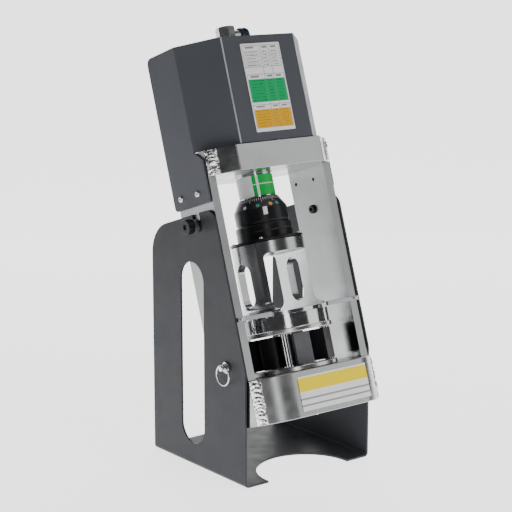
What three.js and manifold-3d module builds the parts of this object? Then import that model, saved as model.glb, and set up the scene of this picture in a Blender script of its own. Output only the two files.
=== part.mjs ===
// A bench hydraulic hose crimping press: a tilted steel frame hung in a folded stand.
// Millimetres, +Z up, the open front faces -Y, +X is to the right seen from the front.
// Inside the frame group x runs across, y runs back from the frame's front edge and z runs up
// the tilted ram axis.
import * as THREE from "three";
import { mergeVertices } from "three/addons/utils/BufferGeometryUtils.js";
import Module from "manifold-3d";

const wasm = await Module();
wasm.setup();

// ---- driving sizes ----
const TILT = (18.3 * Math.PI) / 180; // the frame leans back by this angle
const FRAME_Y = -50; // where the frame's front line, carried on down, meets the floor
const GAP = 0.3; // between pieces that touch

// stand
const STAND_W = 216;
const STAND_D = 213;
const SHEET = 3;
const KNEE_Z = 158;
const GRIP_Y = 118.5; // centre of the hand slot in each side
const GRIP_LOW = 32;
const GRIP_HIGH = 287;
const GRIP_R = 26.5;
const FOOT_ARCH_R = STAND_W / 2 - 39;

// frame weldment
const SIDE_PLAY = 1; // between each side plate and the stand
const PLATE_OUT = STAND_W / 2 - SHEET - SIDE_PLAY; // outer face of each side plate, from the centre line
const PLATE_T = 12;
const PLATE_D = 80;
const FRAME_IN = PLATE_OUT - PLATE_T;
const FRAME_LOW = 95;
const BLOCK_TOP_H = 35;
const BLOCK_LOW_H = 60;
const BLOCK_LOW_HIGH = FRAME_LOW + BLOCK_LOW_H;
const NOSE_TOP = 29.7; // how far the upper block stands out of the plates
const NOSE_TOP_HALF = PLATE_OUT - 32.8; // half the width of its flat front
const ROUND_LOW = 54; // corner radius of the lower block
const BOWL_WALL = 8.4; // left in front of the lower block's bowl
const AXIS_Y = PLATE_D / 2; // the ram axis stands midway along the plates

// ram, ring and pusher: radii
const RAM_R = 24;
const RING_R = RAM_R + 12.8;
const COLLAR_R = RING_R + 2.2;
const FLANGE_R = COLLAR_R + 11.5;
const PUSHER_R = FLANGE_R - 0.5;
const PUSHER_BASE_R = PUSHER_R + 12;
const PRESSURE_R = PUSHER_R + 14;
const LEG_IN = 36.3; // inner face of each pusher leg

// die cage
const CAGE_HIGH_R = PUSHER_R + 16;
const CAGE_LOW_R = CAGE_HIGH_R - 2;
const CAGE_PLATE_H = 5.8;
const CAGE_H = 57.5;
const DIE_COUNT = 8;
const DIE_OUT = CAGE_LOW_R - 2;
const DIE_IN = 20;
const DIE_HALF = 11.5;
const DIE_TRAVEL = 5;
const DIE_TURN = (16.7 * Math.PI) / 180;
const POST_R = 6.5;
const POST_PCR = CAGE_LOW_R - 10;
const LATCH_R = 4.6;
const LATCH_PCR = CAGE_HIGH_R - 5;
const LATCH_ANGLE = (76 * Math.PI) / 180;
const BOWL_R = CAGE_LOW_R + 1;
const BOWL_FLOOR = BLOCK_LOW_HIGH - 26;
const HOSE_R = 36;
const NOSE_LOW = BOWL_R + BOWL_WALL - AXIS_Y; // how far the lower block stands out of the plates

// heights up the ram axis, each standing on the piece below
const PRESSURE_H = 24.1;
const LEG_H = 80;
const HUB_H = 17.4;
const FLANGE_H = 3;
const COLLAR_H = 20.8;
const RING_H = 21.8;
const CONE_H = 15.5;
const BAND_H = 28.5;
const CAGE_LOW = BLOCK_LOW_HIGH + 0.4;
const CAGE_HIGH = CAGE_LOW + CAGE_H;
const PUSHER_LOW = CAGE_HIGH + PRESSURE_H;
const HUB_LOW = PUSHER_LOW + LEG_H;
const HUB_HIGH = HUB_LOW + HUB_H;
const FLANGE_HIGH = HUB_HIGH + FLANGE_H;
const COLLAR_HIGH = FLANGE_HIGH + COLLAR_H;
const CONE_LOW = COLLAR_HIGH + RING_H;
const RING_HIGH = CONE_LOW + CONE_H;
const BAND_LOW = RING_HIGH + 1.5;
const BAND_HIGH = BAND_LOW + BAND_H;
const BLOCK_TOP_LOW = BAND_HIGH + 3;
const FRAME_HIGH = BLOCK_TOP_LOW + BLOCK_TOP_H;
const TAB_ANGLE = (27 * Math.PI) / 180;
const ARM_LOW = PUSHER_LOW - 4;
const ARM_IN = Math.sqrt(Math.max(PUSHER_BASE_R ** 2 - (AXIS_Y + GAP) ** 2, 0)) + 1.55;

// pivot and detent, in frame coordinates
const PIVOT_Z = BLOCK_TOP_LOW - 58.5;
const STUD_R = 6;
const SLOT_HALF = STUD_R + 2;
const STAND_TOP = PIVOT_Z + 16;
const DETENT_BACK = 36;
const DETENT_UP = BLOCK_LOW_HIGH + 22.8;
const BARREL_END = STAND_W / 2 + 4.6;
const NECK_R = 2.3;
const RING_PULL_R = 13.6; // to the middle of the wire
const RING_WIRE_R = 1.1;

// cover
const COVER_T = 2.5;
const COVER_OUT = PLATE_OUT + COVER_T + 0.5;
const COVER_FRONT_HALF = COVER_OUT - 45.5;
const COVER_FRONT = 0.7 - NOSE_TOP;
const COVER_BEND = 18;
const COVER_BACK = PLATE_D + 6;
const COVER_H = 145;
const COVER_TOP = FRAME_HIGH + COVER_H;
const COVER_SCREWS = [AXIS_Y - 13, PLATE_D - 13];
const COVER_SCREW_Z = BLOCK_TOP_LOW - 18;
const SKIRT_LOW = COVER_SCREW_Z - 15;
const PORT_Z = COVER_TOP + 16.5;

// ---- materials ----
const paint = (color, roughness, metalness) => new THREE.MeshStandardMaterial({ color, roughness, metalness });
const powder = () => paint(0x3c3f45, 0.45, 0.1);
const zinc = () => paint(0xb9bcbe, 0.35, 0.9);
const bright = () => paint(0xc9cbcc, 0.2, 1);
const chrome = () => paint(0xd8dadb, 0.1, 1);
const black = () => paint(0x15161a, 0.4, 0.3);
const white = () => paint(0xf0f0ee, 0.5, 0);
const blue = () => paint(0x1c2b45, 0.35, 0);

// ---- solids ----
function solid(geometry) {
  const g = geometry.index ? geometry.toNonIndexed() : geometry;
  g.deleteAttribute("normal");
  g.deleteAttribute("uv");
  const merged = mergeVertices(g, 1e-4);
  return new wasm.Manifold(
    new wasm.Mesh({
      numProp: 3,
      vertProperties: merged.attributes.position.array,
      triVerts: new Uint32Array(merged.index.array),
    }),
  );
}

function geometryOf(made) {
  const m = made.getMesh();
  const flat = new Float32Array(m.numVert * 3);
  for (let i = 0; i < m.numVert; i++) {
    flat.set(m.vertProperties.subarray(i * m.numProp, i * m.numProp + 3), i * 3);
  }
  const g = new THREE.BufferGeometry();
  g.setAttribute("position", new THREE.BufferAttribute(flat, 3));
  g.setIndex(new THREE.BufferAttribute(m.triVerts, 1));
  return g;
}

// Corners [x, y, radius] become an outline with arcs.
function outline(corners, steps = 5) {
  const out = [];
  const n = corners.length;
  for (let i = 0; i < n; i++) {
    const [x, y, r] = corners[i];
    const here = new THREE.Vector2(x, y);
    if (!r) {
      out.push(here);
      continue;
    }
    const before = new THREE.Vector2(corners[(i + n - 1) % n][0], corners[(i + n - 1) % n][1]);
    const after = new THREE.Vector2(corners[(i + 1) % n][0], corners[(i + 1) % n][1]);
    const a = before.sub(here).normalize();
    const b = after.sub(here).normalize();
    const half = Math.acos(Math.max(-1, Math.min(1, a.dot(b)))) / 2;
    const centre = here.clone().addScaledVector(a.clone().add(b).normalize(), r / Math.sin(half));
    const start = here.clone().addScaledVector(a, r / Math.tan(half)).sub(centre);
    const turn = (Math.PI - 2 * half) * Math.sign(b.cross(a));
    for (let k = 0; k <= steps; k++) {
      const angle = (turn * k) / steps;
      out.push(start.clone().rotateAround(new THREE.Vector2(), angle).add(centre));
    }
  }
  return out;
}

function extrude(points, depth) {
  const shape = new THREE.Shape(points);
  return new THREE.ExtrudeGeometry(shape, { depth, bevelEnabled: false, steps: 1 });
}

// An outline in (x, y) carried up z.
function prismZ(points, low, high) {
  return solid(extrude(points, high - low).translate(0, 0, low));
}

// An outline in (y, z) carried across x.
function prismX(points, low, high) {
  const turn = new THREE.Matrix4().set(0, 0, 1, 0, 1, 0, 0, 0, 0, 1, 0, 0, 0, 0, 0, 1);
  return solid(extrude(points, high - low).applyMatrix4(turn).translate(low, 0, 0));
}

// An outline in (x, z) carried along y.
function prismY(points, low, high) {
  const turn = new THREE.Matrix4().makeRotationX(Math.PI / 2);
  return solid(extrude(points, high - low).applyMatrix4(turn).translate(0, high, 0));
}

function box(x0, x1, y0, y1, z0, z1) {
  const g = new THREE.BoxGeometry(x1 - x0, y1 - y0, z1 - z0);
  return solid(g.translate((x0 + x1) / 2, (y0 + y1) / 2, (z0 + z1) / 2));
}

// A turned piece about z, from a profile of [radius, z] that starts and ends on the axis or closes.
function turned(profile, x, y, steps = 48) {
  const points = profile.map(([r, z]) => new THREE.Vector2(r, z));
  const g = new THREE.LatheGeometry(points, steps).rotateX(Math.PI / 2).rotateZ(Math.PI / steps);
  const made = solid(g.translate(x, y, 0));
  return made.volume() < 0 ? solid(new THREE.LatheGeometry(points.reverse(), steps)
    .rotateX(Math.PI / 2).rotateZ(Math.PI / steps).translate(x, y, 0)) : made;
}

function rod(r, z0, z1, x, y, steps = 32) {
  return turned([[0, z0], [r, z0], [r, z1], [0, z1]], x, y, steps);
}

// A turned piece about a line along x; side is -1 or 1 and the profile's second value is |x|.
function turnedX(profile, side, y, z, steps = 32) {
  const points = profile.map(([r, d]) => new THREE.Vector2(r, d));
  const make = (list) => solid(new THREE.LatheGeometry(list, steps)
    .rotateZ(side > 0 ? -Math.PI / 2 : Math.PI / 2).translate(0, y, z));
  const made = make(points);
  return made.volume() < 0 ? make(points.reverse()) : made;
}

function rodX(r, d0, d1, side, y, z, steps = 24) {
  return turnedX([[0, d0], [r, d0], [r, d1], [0, d1]], side, y, z, steps);
}

function rodY(r, y0, y1, x, z, steps = 24) {
  const g = new THREE.CylinderGeometry(r, r, y1 - y0, steps).translate(x, (y0 + y1) / 2, z);
  return solid(g);
}

function obround(cx, low, high, r, steps = 12) {
  const out = [];
  for (let k = 0; k <= steps; k++) {
    const t = (Math.PI * k) / steps;
    out.push(new THREE.Vector2(cx + r * Math.cos(t), high - r + r * Math.sin(t)));
  }
  for (let k = 0; k <= steps; k++) {
    const t = Math.PI + (Math.PI * k) / steps;
    out.push(new THREE.Vector2(cx + r * Math.cos(t), low + r + r * Math.sin(t)));
  }
  return out;
}

// ---- assembly ----
const root = new THREE.Group();
root.name = "hose_crimping_press";
const still = new THREE.Group();
const frame = new THREE.Group();
frame.rotation.x = -TILT;
frame.position.y = FRAME_Y;
root.add(still, frame);

function add(name, made, material, parent) {
  const mesh = new THREE.Mesh(geometryOf(made), material);
  mesh.name = name;
  parent.add(mesh);
}

// A point given in frame coordinates (back, up), as world (y, z).
function placed(back, up) {
  return [
    FRAME_Y + back * Math.cos(TILT) + up * Math.sin(TILT),
    -back * Math.sin(TILT) + up * Math.cos(TILT),
  ];
}

const [DETENT_Y, DETENT_Z] = placed(DETENT_BACK, DETENT_UP);

// ---- stand ----
function standSide() {
  const [topY, topZ] = placed(-2, STAND_TOP);
  const rearZ = topZ - (STAND_D - topY) * Math.tan(TILT);
  return outline([
    [0, 0, 0],
    [STAND_D, 0, 0],
    [STAND_D, rearZ, 48],
    [topY, topZ, 18],
    [0, KNEE_Z, 30],
  ], 6);
}

function pivotSlot() {
  const across = [];
  for (let k = 0; k <= 10; k++) {
    const t = Math.PI + (Math.PI * k) / 10;
    across.push([AXIS_Y + SLOT_HALF * Math.cos(t), PIVOT_Z - 1 + SLOT_HALF * Math.sin(t)]);
  }
  across.push([AXIS_Y + SLOT_HALF, STAND_TOP + 12], [AXIS_Y - SLOT_HALF, STAND_TOP + 12]);
  return across.map(([b, u]) => new THREE.Vector2(...placed(b, u)));
}

function makeStand() {
  const w = STAND_W / 2;
  const outer = outline([[-w, 0, 6], [w, 0, 6], [w, 420, 0], [-w, 420, 0]], 4);
  const inner = outline([
    [-w + SHEET, SHEET, 3], [w - SHEET, SHEET, 3], [w - SHEET, 430, 0], [-w + SHEET, 430, 0],
  ], 4);
  let made = prismY(outer, -1, STAND_D + 1).subtract(prismY(inner, -2, STAND_D + 2));
  made = made.intersect(prismX(standSide(), -w - 1, w + 1));
  made = made.subtract(prismX(obround(GRIP_Y, GRIP_LOW, GRIP_HIGH, GRIP_R), -w - 2, w + 2));
  made = made.subtract(prismX(pivotSlot(), -w - 2, w + 2));
  made = made.subtract(rod(FOOT_ARCH_R, -1, SHEET + 1, 0, 4, 72));
  for (const side of [-1, 1]) {
    made = made.subtract(rodX(5.8, w - SHEET - 2, w + 2, side, DETENT_Y, DETENT_Z));
  }
  add("stand", made, powder(), still);
}

// ---- detents: barrel on the stand, sprung pin, pull ring ----
function makeDetent(side, tag) {
  const w = STAND_W / 2;
  const hex = [];
  for (let k = 0; k < 6; k++) {
    const t = (Math.PI * k) / 3;
    hex.push(new THREE.Vector2(DETENT_Y + 8.4 * Math.cos(t), DETENT_Z + 8.4 * Math.sin(t)));
  }
  const nutLow = w + GAP;
  const nut = side > 0 ? prismX(hex, nutLow, nutLow + 2.6) : prismX(hex, -nutLow - 2.6, -nutLow);
  let barrel = nut.add(rodX(5.4, w - SHEET + 0.3, BARREL_END, side, DETENT_Y, DETENT_Z));
  barrel = barrel.subtract(rodX(2.9, w - SHEET - 2, w + 12, side, DETENT_Y, DETENT_Z));
  add("detent_barrel_" + tag, barrel, zinc(), still);

  const head = BARREL_END + 4;
  add("detent_pin_" + tag, turnedX([
    [0, w - SHEET + 0.6], [2.5, w - SHEET + 0.6], [2.5, BARREL_END + 0.3], [NECK_R, BARREL_END + 0.5],
    [NECK_R, head], [3.9, head + 0.4], [3.9, head + 1.8], [2.8, head + 3], [0, head + 3],
  ], side, DETENT_Y, DETENT_Z, 24), chrome(), still);

  // the ring hangs on the neck behind the pin's head
  const ring = new THREE.TorusGeometry(RING_PULL_R, RING_WIRE_R, 10, 36).rotateY(Math.PI / 2);
  const hang = NECK_R + RING_WIRE_R + GAP - RING_PULL_R;
  ring.translate(side * (BARREL_END + 2.2), DETENT_Y, DETENT_Z + hang);
  add("pull_ring_" + tag, solid(ring), chrome(), still);
}

// ---- frame weldment ----
// Each front path runs from the left plate round the nose to the right plate.
function topPath() {
  const y = -GAP;
  return [
    [-PLATE_OUT, y], [-NOSE_TOP_HALF, -NOSE_TOP], [NOSE_TOP_HALF, -NOSE_TOP], [PLATE_OUT, y],
  ];
}

function lowPath(grow = 0) {
  const end = Math.acos(1 - (NOSE_LOW - GAP) / ROUND_LOW);
  const centre = PLATE_OUT - ROUND_LOW * Math.sin(end);
  const out = [];
  for (let k = 12; k >= 0; k--) {
    const t = (end * k) / 12;
    out.push([
      -centre - (ROUND_LOW + grow) * Math.sin(t),
      -NOSE_LOW + ROUND_LOW - (ROUND_LOW + grow) * Math.cos(t),
    ]);
  }
  return out.concat(out.map(([x, y]) => [-x, y]).reverse());
}

function blockOutline(path) {
  const back = path.map(([x, y]) => [x, PLATE_D - y]).reverse();
  const inner = FRAME_IN - GAP;
  const list = [
    ...path, [inner, -GAP], [inner, PLATE_D + GAP], ...back,
    [-inner, PLATE_D + GAP], [-inner, -GAP],
  ];
  return list.map(([x, y]) => new THREE.Vector2(x, y));
}

function makeSidePlate(side, tag) {
  const x0 = side > 0 ? FRAME_IN : -PLATE_OUT;
  let made = box(x0, x0 + PLATE_T, 0, PLATE_D, FRAME_LOW, FRAME_HIGH);
  made = made.subtract(rodX(STUD_R + GAP, FRAME_IN - 1, PLATE_OUT + 1, side, AXIS_Y, PIVOT_Z));
  for (const y of COVER_SCREWS) {
    made = made.subtract(rodX(2.6, FRAME_IN - 1, PLATE_OUT + 1, side, y, COVER_SCREW_Z, 16));
  }
  add("side_plate_" + tag, made, zinc(), frame);
}

function makeTopBlock() {
  let made = prismZ(blockOutline(topPath()), BLOCK_TOP_LOW, FRAME_HIGH);
  made = made.subtract(rod(RAM_R + 1.8, BLOCK_TOP_LOW - 1, FRAME_HIGH + 1, 0, AXIS_Y, 48));
  add("top_block", made, zinc(), frame);
}

function makeLowBlock() {
  let made = prismZ(blockOutline(lowPath()), FRAME_LOW, BLOCK_LOW_HIGH);
  made = made.subtract(turned([
    [0, FRAME_LOW - 1], [HOSE_R, FRAME_LOW - 1], [HOSE_R, BOWL_FLOOR], [BOWL_R - 9, BOWL_FLOOR],
    [BOWL_R, BLOCK_LOW_HIGH - 12.6], [BOWL_R, BLOCK_LOW_HIGH + 1], [0, BLOCK_LOW_HIGH + 1],
  ], 0, AXIS_Y, 56));
  add("bottom_block", made, zinc(), frame);
}

// A strip that follows a path between two distances from its start, lying on the outside of it.
function strip(path, from, to, inner, outer, steps) {
  const lengths = [0];
  for (let i = 1; i < path.length; i++) {
    const dx = path[i][0] - path[i - 1][0];
    const dy = path[i][1] - path[i - 1][1];
    lengths.push(lengths[i - 1] + Math.hypot(dx, dy));
  }
  const at = (s, off) => {
    let i = 1;
    while (i < path.length - 1 && lengths[i] < s) i++;
    const f = (s - lengths[i - 1]) / (lengths[i] - lengths[i - 1]);
    const dx = (path[i][0] - path[i - 1][0]) / (lengths[i] - lengths[i - 1]);
    const dy = (path[i][1] - path[i - 1][1]) / (lengths[i] - lengths[i - 1]);
    return new THREE.Vector2(
      path[i - 1][0] + f * (path[i][0] - path[i - 1][0]) + dy * off,
      path[i - 1][1] + f * (path[i][1] - path[i - 1][1]) - dx * off,
    );
  };
  const out = [];
  for (let k = 0; k <= steps; k++) out.push(at(from + ((to - from) * k) / steps, outer(k / steps)));
  for (let k = steps; k >= 0; k--) out.push(at(from + ((to - from) * k) / steps, inner));
  return out;
}

function makeWelds() {
  const bead = (t) => 1 + 2.4 * Math.sin(Math.PI * t);
  const pieces = [
    ["top", topPath(), BLOCK_TOP_LOW + 0.5, FRAME_HIGH - 0.5],
    ["bottom", lowPath(), FRAME_LOW + 0.5, BLOCK_LOW_HIGH - 0.5],
  ];
  for (const [which, path, low, high] of pieces) {
    const left = strip(path, 0.5, 17, GAP, bead, 7);
    const right = left.map((p) => new THREE.Vector2(-p.x, p.y)).reverse();
    add("weld_" + which + "_left", prismZ(left, low, high), bright(), frame);
    add("weld_" + which + "_right", prismZ(right, low, high), bright(), frame);
  }
}

// ---- locating arms in front of the plates ----
function makeArm(side, tag) {
  const x = [ARM_IN, PLATE_OUT].map((v) => side * v).sort((a, b) => a - b);
  const hole = side * (PLATE_OUT - PLATE_T / 2);
  let made = box(x[0], x[1], -5.3, -GAP, ARM_LOW, ARM_LOW + 6);
  made = made.subtract(rodY(1.8, -7, 1, hole, ARM_LOW + 3, 16));
  add("locating_arm_" + tag, made, zinc(), frame);
  const head = rodY(2.9, -8.4, -5.6, hole, ARM_LOW + 3, 20);
  const screw = head.add(rodY(1.5, -6, -0.6, hole, ARM_LOW + 3, 12));
  add("arm_screw_" + tag, screw, chrome(), frame);
}

// ---- pivot studs and knobs ----
function makePivot(side, tag) {
  const w = STAND_W / 2;
  const stud = turnedX([
    [0, FRAME_IN - 4], [5.2, FRAME_IN - 4], [STUD_R, FRAME_IN - 3.2], [STUD_R, w + 9],
    [3.6, w + 9], [3.6, w + 13], [0, w + 13],
  ], side, AXIS_Y, PIVOT_Z, 24);
  add("pivot_stud_" + tag, stud, black(), frame);
  const knob = turnedX([
    [0, w + 18.5], [2.6, w + 18.5], [2.6, w + 20.5], [8.6, w + 20.5], [10.2, w + 19],
    [10.2, w + 11.2], [9, w + 9.4], [4, w + 9.4], [4, w + 14], [0, w + 14],
  ], side, AXIS_Y, PIVOT_Z, 32);
  add("pivot_knob_" + tag, knob, black(), frame);
}

// ---- cover over the cylinder ----
function coverOutline(inset) {
  const slope = Math.atan2(COVER_BEND - COVER_FRONT, COVER_OUT - COVER_FRONT_HALF);
  const x = COVER_OUT - inset;
  const bend = COVER_BEND + inset * Math.tan(slope / 2);
  const half = COVER_FRONT_HALF - inset * Math.tan(Math.PI / 4 - slope / 4);
  return [
    [-x, COVER_BACK - inset], [-x, bend], [-half, COVER_FRONT + inset],
    [half, COVER_FRONT + inset], [x, bend], [x, COVER_BACK - inset],
  ].map(([a, b]) => new THREE.Vector2(a, b));
}

function makeCover() {
  const low = FRAME_HIGH + 0.8;
  let made = prismZ(coverOutline(0), low, COVER_TOP);
  made = made.subtract(prismZ(coverOutline(COVER_T), low - 1, COVER_TOP - COVER_T));
  const lip = COVER_OUT - 14;
  made = made.subtract(box(-lip, lip, COVER_BACK - 9, COVER_BACK + 2, low - 1, COVER_TOP - 16));
  const skirt = outline([
    [2, SKIRT_LOW, 3], [COVER_BACK, SKIRT_LOW, 6], [COVER_BACK, low + 2, 0],
    [COVER_BEND, low + 2, 0], [COVER_BEND, low, 0], [2, low - 12, 0],
  ], 4);
  for (const side of [-1, 1]) {
    const x = [COVER_OUT - COVER_T, COVER_OUT].map((v) => side * v).sort((a, b) => a - b);
    made = made.add(prismX(skirt, x[0], x[1]));
    for (const y of COVER_SCREWS) {
      made = made.subtract(rodX(2.6, COVER_OUT - 5, COVER_OUT + 1, side, y, COVER_SCREW_Z, 16));
    }
  }
  made = made.subtract(prismX(roundOff(COVER_BACK, COVER_TOP, 9), -COVER_OUT - 1, COVER_OUT + 1));
  made = made.subtract(rod(17, COVER_TOP - 6, COVER_TOP + 2, 0, AXIS_Y, 32));
  add("cover", made, powder(), frame);
}

// What is left outside a quarter round of radius r at the corner (y, z).
function roundOff(y, z, r) {
  const out = [];
  for (let k = 0; k <= 6; k++) {
    const t = (Math.PI / 2) * (k / 6);
    out.push(new THREE.Vector2(y - r + r * Math.cos(t), z - r + r * Math.sin(t)));
  }
  out.push(new THREE.Vector2(y - r, z + 3), new THREE.Vector2(y + 3, z + 3));
  out.push(new THREE.Vector2(y + 3, z - r));
  return out;
}

function makeCoverScrews() {
  let n = 0;
  for (const side of [-1, 1]) {
    for (const y of COVER_SCREWS) {
      n += 1;
      const screw = turnedX([
        [0, FRAME_IN + 4], [2.1, FRAME_IN + 4], [2.1, COVER_OUT + GAP], [4.4, COVER_OUT + GAP],
        [4.4, COVER_OUT + 1.2], [3.2, COVER_OUT + 2.6], [0, COVER_OUT + 2.6],
      ], side, y, COVER_SCREW_Z, 20);
      add("cover_screw_" + n, screw, chrome(), frame);
    }
  }
}

// ---- labels: plain plates ----
function makeLabels() {
  const front = COVER_FRONT - GAP;
  const low = FRAME_HIGH + 12.5;
  add("chart_plate", box(-33, 33, front - 0.6, front, low, COVER_TOP - 11.5), white(), frame);
  const path = lowPath();
  const total = pathLength(path);
  const middle = total / 2;
  const label = strip(path, middle - 50, middle + 69, GAP, () => GAP + 0.6, 20);
  add("front_label", prismZ(label, FRAME_LOW + 7, BLOCK_LOW_HIGH - 7.5), white(), frame);
}

function pathLength(path) {
  let total = 0;
  for (let i = 1; i < path.length; i++) {
    total += Math.hypot(path[i][0] - path[i - 1][0], path[i][1] - path[i - 1][1]);
  }
  return total;
}

// ---- hydraulics ----
function makeCylinder() {
  const low = FRAME_HIGH + GAP;
  const r = RAM_R + 20;
  const top = COVER_TOP - 16.5;
  add("cylinder", turned([
    [0, low], [r, low], [r, top - 8], [r - 4, top - 4], [18, top - 4], [18, top], [0, top],
  ], 0, AXIS_Y, 56), black(), frame);
}

function makeFittings() {
  const hex = [];
  for (let k = 0; k < 6; k++) {
    const t = (Math.PI * k) / 3 + 0.25;
    hex.push(new THREE.Vector2(13.6 * Math.cos(t), AXIS_Y + 13.6 * Math.sin(t)));
  }
  let body = prismZ(hex, PORT_Z - 13, PORT_Z + 11).add(rod(9, PORT_Z - 32.6, PORT_Z - 12, 0, AXIS_Y, 24));
  body = body.intersect(turned([
    [0, PORT_Z - 35], [20, PORT_Z - 35], [20, PORT_Z + 7], [12.4, PORT_Z + 12], [0, PORT_Z + 12],
  ], 0, AXIS_Y, 32));
  const arm = new THREE.CylinderGeometry(7.5, 7.5, 14, 24).rotateZ(Math.PI / 2);
  body = body.add(solid(arm.translate(14, AXIS_Y, PORT_Z)));
  add("port_elbow", body, zinc(), frame);

  const cap = new THREE.LatheGeometry(
    [[0, 0], [8.6, 0], [10.4, 1.6], [10.4, 4], [9.4, 5], [10.4, 6], [10.4, 11], [8, 14], [0, 14]]
      .map(([r, d]) => new THREE.Vector2(r, d)), 28,
  ).rotateZ(-Math.PI / 2).translate(21.4, AXIS_Y, PORT_Z);
  add("coupler", solid(cap), blue(), frame);
}

function makeRam() {
  add("ram", rod(RAM_R, COLLAR_HIGH + GAP, FRAME_HIGH - 0.5, 0, AXIS_Y, 48), chrome(), frame);
  const inner = RAM_R + GAP;
  const outer = RAM_R + 1.3;
  add("scale_band", turned([
    [inner, BAND_LOW], [outer, BAND_LOW], [outer, BAND_HIGH], [inner, BAND_HIGH], [inner, BAND_LOW],
  ], 0, AXIS_Y, 48), white(), frame);
}

function makeRing() {
  const r = RAM_R + 0.4;
  add("adjusting_ring", turned([
    [r, COLLAR_HIGH + GAP], [RING_R - 1, COLLAR_HIGH + GAP], [RING_R - 1, COLLAR_HIGH + 2.6],
    [RING_R, COLLAR_HIGH + 3.6], [RING_R, CONE_LOW], [RAM_R + 2.8, RING_HIGH], [r, RING_HIGH],
    [r, COLLAR_HIGH + GAP],
  ], 0, AXIS_Y, 56), black(), frame);
  add("ring_collar", turned([
    [0, FLANGE_HIGH + GAP], [COLLAR_R, FLANGE_HIGH + GAP], [COLLAR_R, COLLAR_HIGH - 1.2],
    [COLLAR_R - 1, COLLAR_HIGH], [0, COLLAR_HIGH],
  ], 0, AXIS_Y, 56), black(), frame);
  add("pusher_flange", turned([
    [0, HUB_HIGH + GAP], [FLANGE_R, HUB_HIGH + GAP], [FLANGE_R, FLANGE_HIGH], [0, FLANGE_HIGH],
  ], 0, AXIS_Y, 56), black(), frame);
  const tab = new THREE.BoxGeometry(6, 0.8, 10.6).translate(0, -RING_R - 0.6, CONE_LOW - 5.2);
  add("index_tab", solid(tab.rotateZ(-TAB_ANGLE).translate(0, AXIS_Y, 0)), white(), frame);
  const at = FLANGE_R - 4.9;
  for (let k = 0; k < 4; k++) {
    const t = Math.PI / 4 + (Math.PI / 2) * k;
    const foot = FLANGE_HIGH + GAP;
    add("flange_screw_" + (k + 1), turned([
      [0, foot], [2.6, foot], [2.6, foot + 1.5], [1.6, foot + 2.4], [0, foot + 2.4],
    ], at * Math.cos(t), AXIS_Y + at * Math.sin(t), 16), chrome(), frame);
  }
}

function makePusher() {
  const profile = [[0, PUSHER_LOW], [PUSHER_BASE_R, PUSHER_LOW], [PUSHER_BASE_R, PUSHER_LOW + 4]];
  const fillet = PUSHER_BASE_R - PUSHER_R;
  for (let k = 1; k <= 5; k++) {
    const t = (Math.PI / 2) * (k / 5);
    profile.push([
      PUSHER_BASE_R - fillet * Math.sin(t),
      PUSHER_LOW + 4 + fillet * (1 - Math.cos(t)),
    ]);
  }
  profile.push([PUSHER_R, HUB_HIGH - 1.5], [PUSHER_R - 1.5, HUB_HIGH], [0, HUB_HIGH]);
  let made = turned(profile, 0, AXIS_Y, 64);
  const window = outline([
    [-LEG_IN, PUSHER_LOW - 2, 0], [LEG_IN, PUSHER_LOW - 2, 0],
    [LEG_IN, HUB_LOW, 5], [-LEG_IN, HUB_LOW, 5],
  ], 4);
  made = made.subtract(prismY(window, AXIS_Y - 80, AXIS_Y + 80));
  made = made.subtract(prismX(obround(AXIS_Y, PUSHER_LOW + 10.5, HUB_LOW - 8.5, 14), -80, 80));
  add("pusher", made, bright(), frame);
}

function makePressureRing() {
  const low = CAGE_HIGH + GAP;
  const high = PUSHER_LOW - GAP;
  let made = turned([
    [LEG_IN, low], [PRESSURE_R, low], [PRESSURE_R, ARM_LOW - 1.5], [PUSHER_BASE_R - 4, ARM_LOW - 0.6],
    [PUSHER_BASE_R - 4, high], [LEG_IN, high], [LEG_IN, low],
  ], 0, AXIS_Y, 56);
  // room for the lift knob
  const [x, y] = around(LATCH_PCR, LATCH_ANGLE);
  made = made.subtract(rod(LATCH_R + 2.6, low - 1, high + 1, x, y, 32));
  add("pressure_ring", made, bright(), frame);
}

// ---- die cage ----
function around(distance, angle) {
  return [-distance * Math.sin(angle), AXIS_Y - distance * Math.cos(angle)];
}

function makeCage() {
  const high = CAGE_LOW + CAGE_PLATE_H;
  add("cage_bottom_plate", turned([
    [28, CAGE_LOW - 10], [BOWL_R - 11, CAGE_LOW - 10], [BOWL_R - 5, CAGE_LOW - 0.1],
    [CAGE_LOW_R, CAGE_LOW - 0.1], [CAGE_LOW_R, high], [28, high], [28, CAGE_LOW - 10],
  ], 0, AXIS_Y, 56), zinc(), frame);
  const low = CAGE_HIGH - CAGE_PLATE_H;
  add("cage_top_plate", turned([
    [30, low], [CAGE_HIGH_R, low], [CAGE_HIGH_R, CAGE_HIGH], [30, CAGE_HIGH], [30, low],
  ], 0, AXIS_Y, 56), zinc(), frame);
  for (let k = 0; k < 4; k++) {
    const [x, y] = around(POST_PCR, DIE_TURN + Math.PI / 8 + (Math.PI / 2) * k);
    add("cage_post_" + (k + 1), rod(POST_R, high + GAP, low - GAP, x, y, 28), chrome(), frame);
  }
  const [x, y] = around(LATCH_PCR, LATCH_ANGLE);
  add("cage_latch", turned([
    [0, CAGE_HIGH + GAP], [LATCH_R, CAGE_HIGH + GAP], [LATCH_R, CAGE_HIGH + 3.5], [2.4, CAGE_HIGH + 4.5],
    [2.4, CAGE_HIGH + 6.5], [3.6, CAGE_HIGH + 7.5], [3.6, CAGE_HIGH + 10], [0, CAGE_HIGH + 10],
  ], x, y, 20), chrome(), frame);
}

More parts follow.
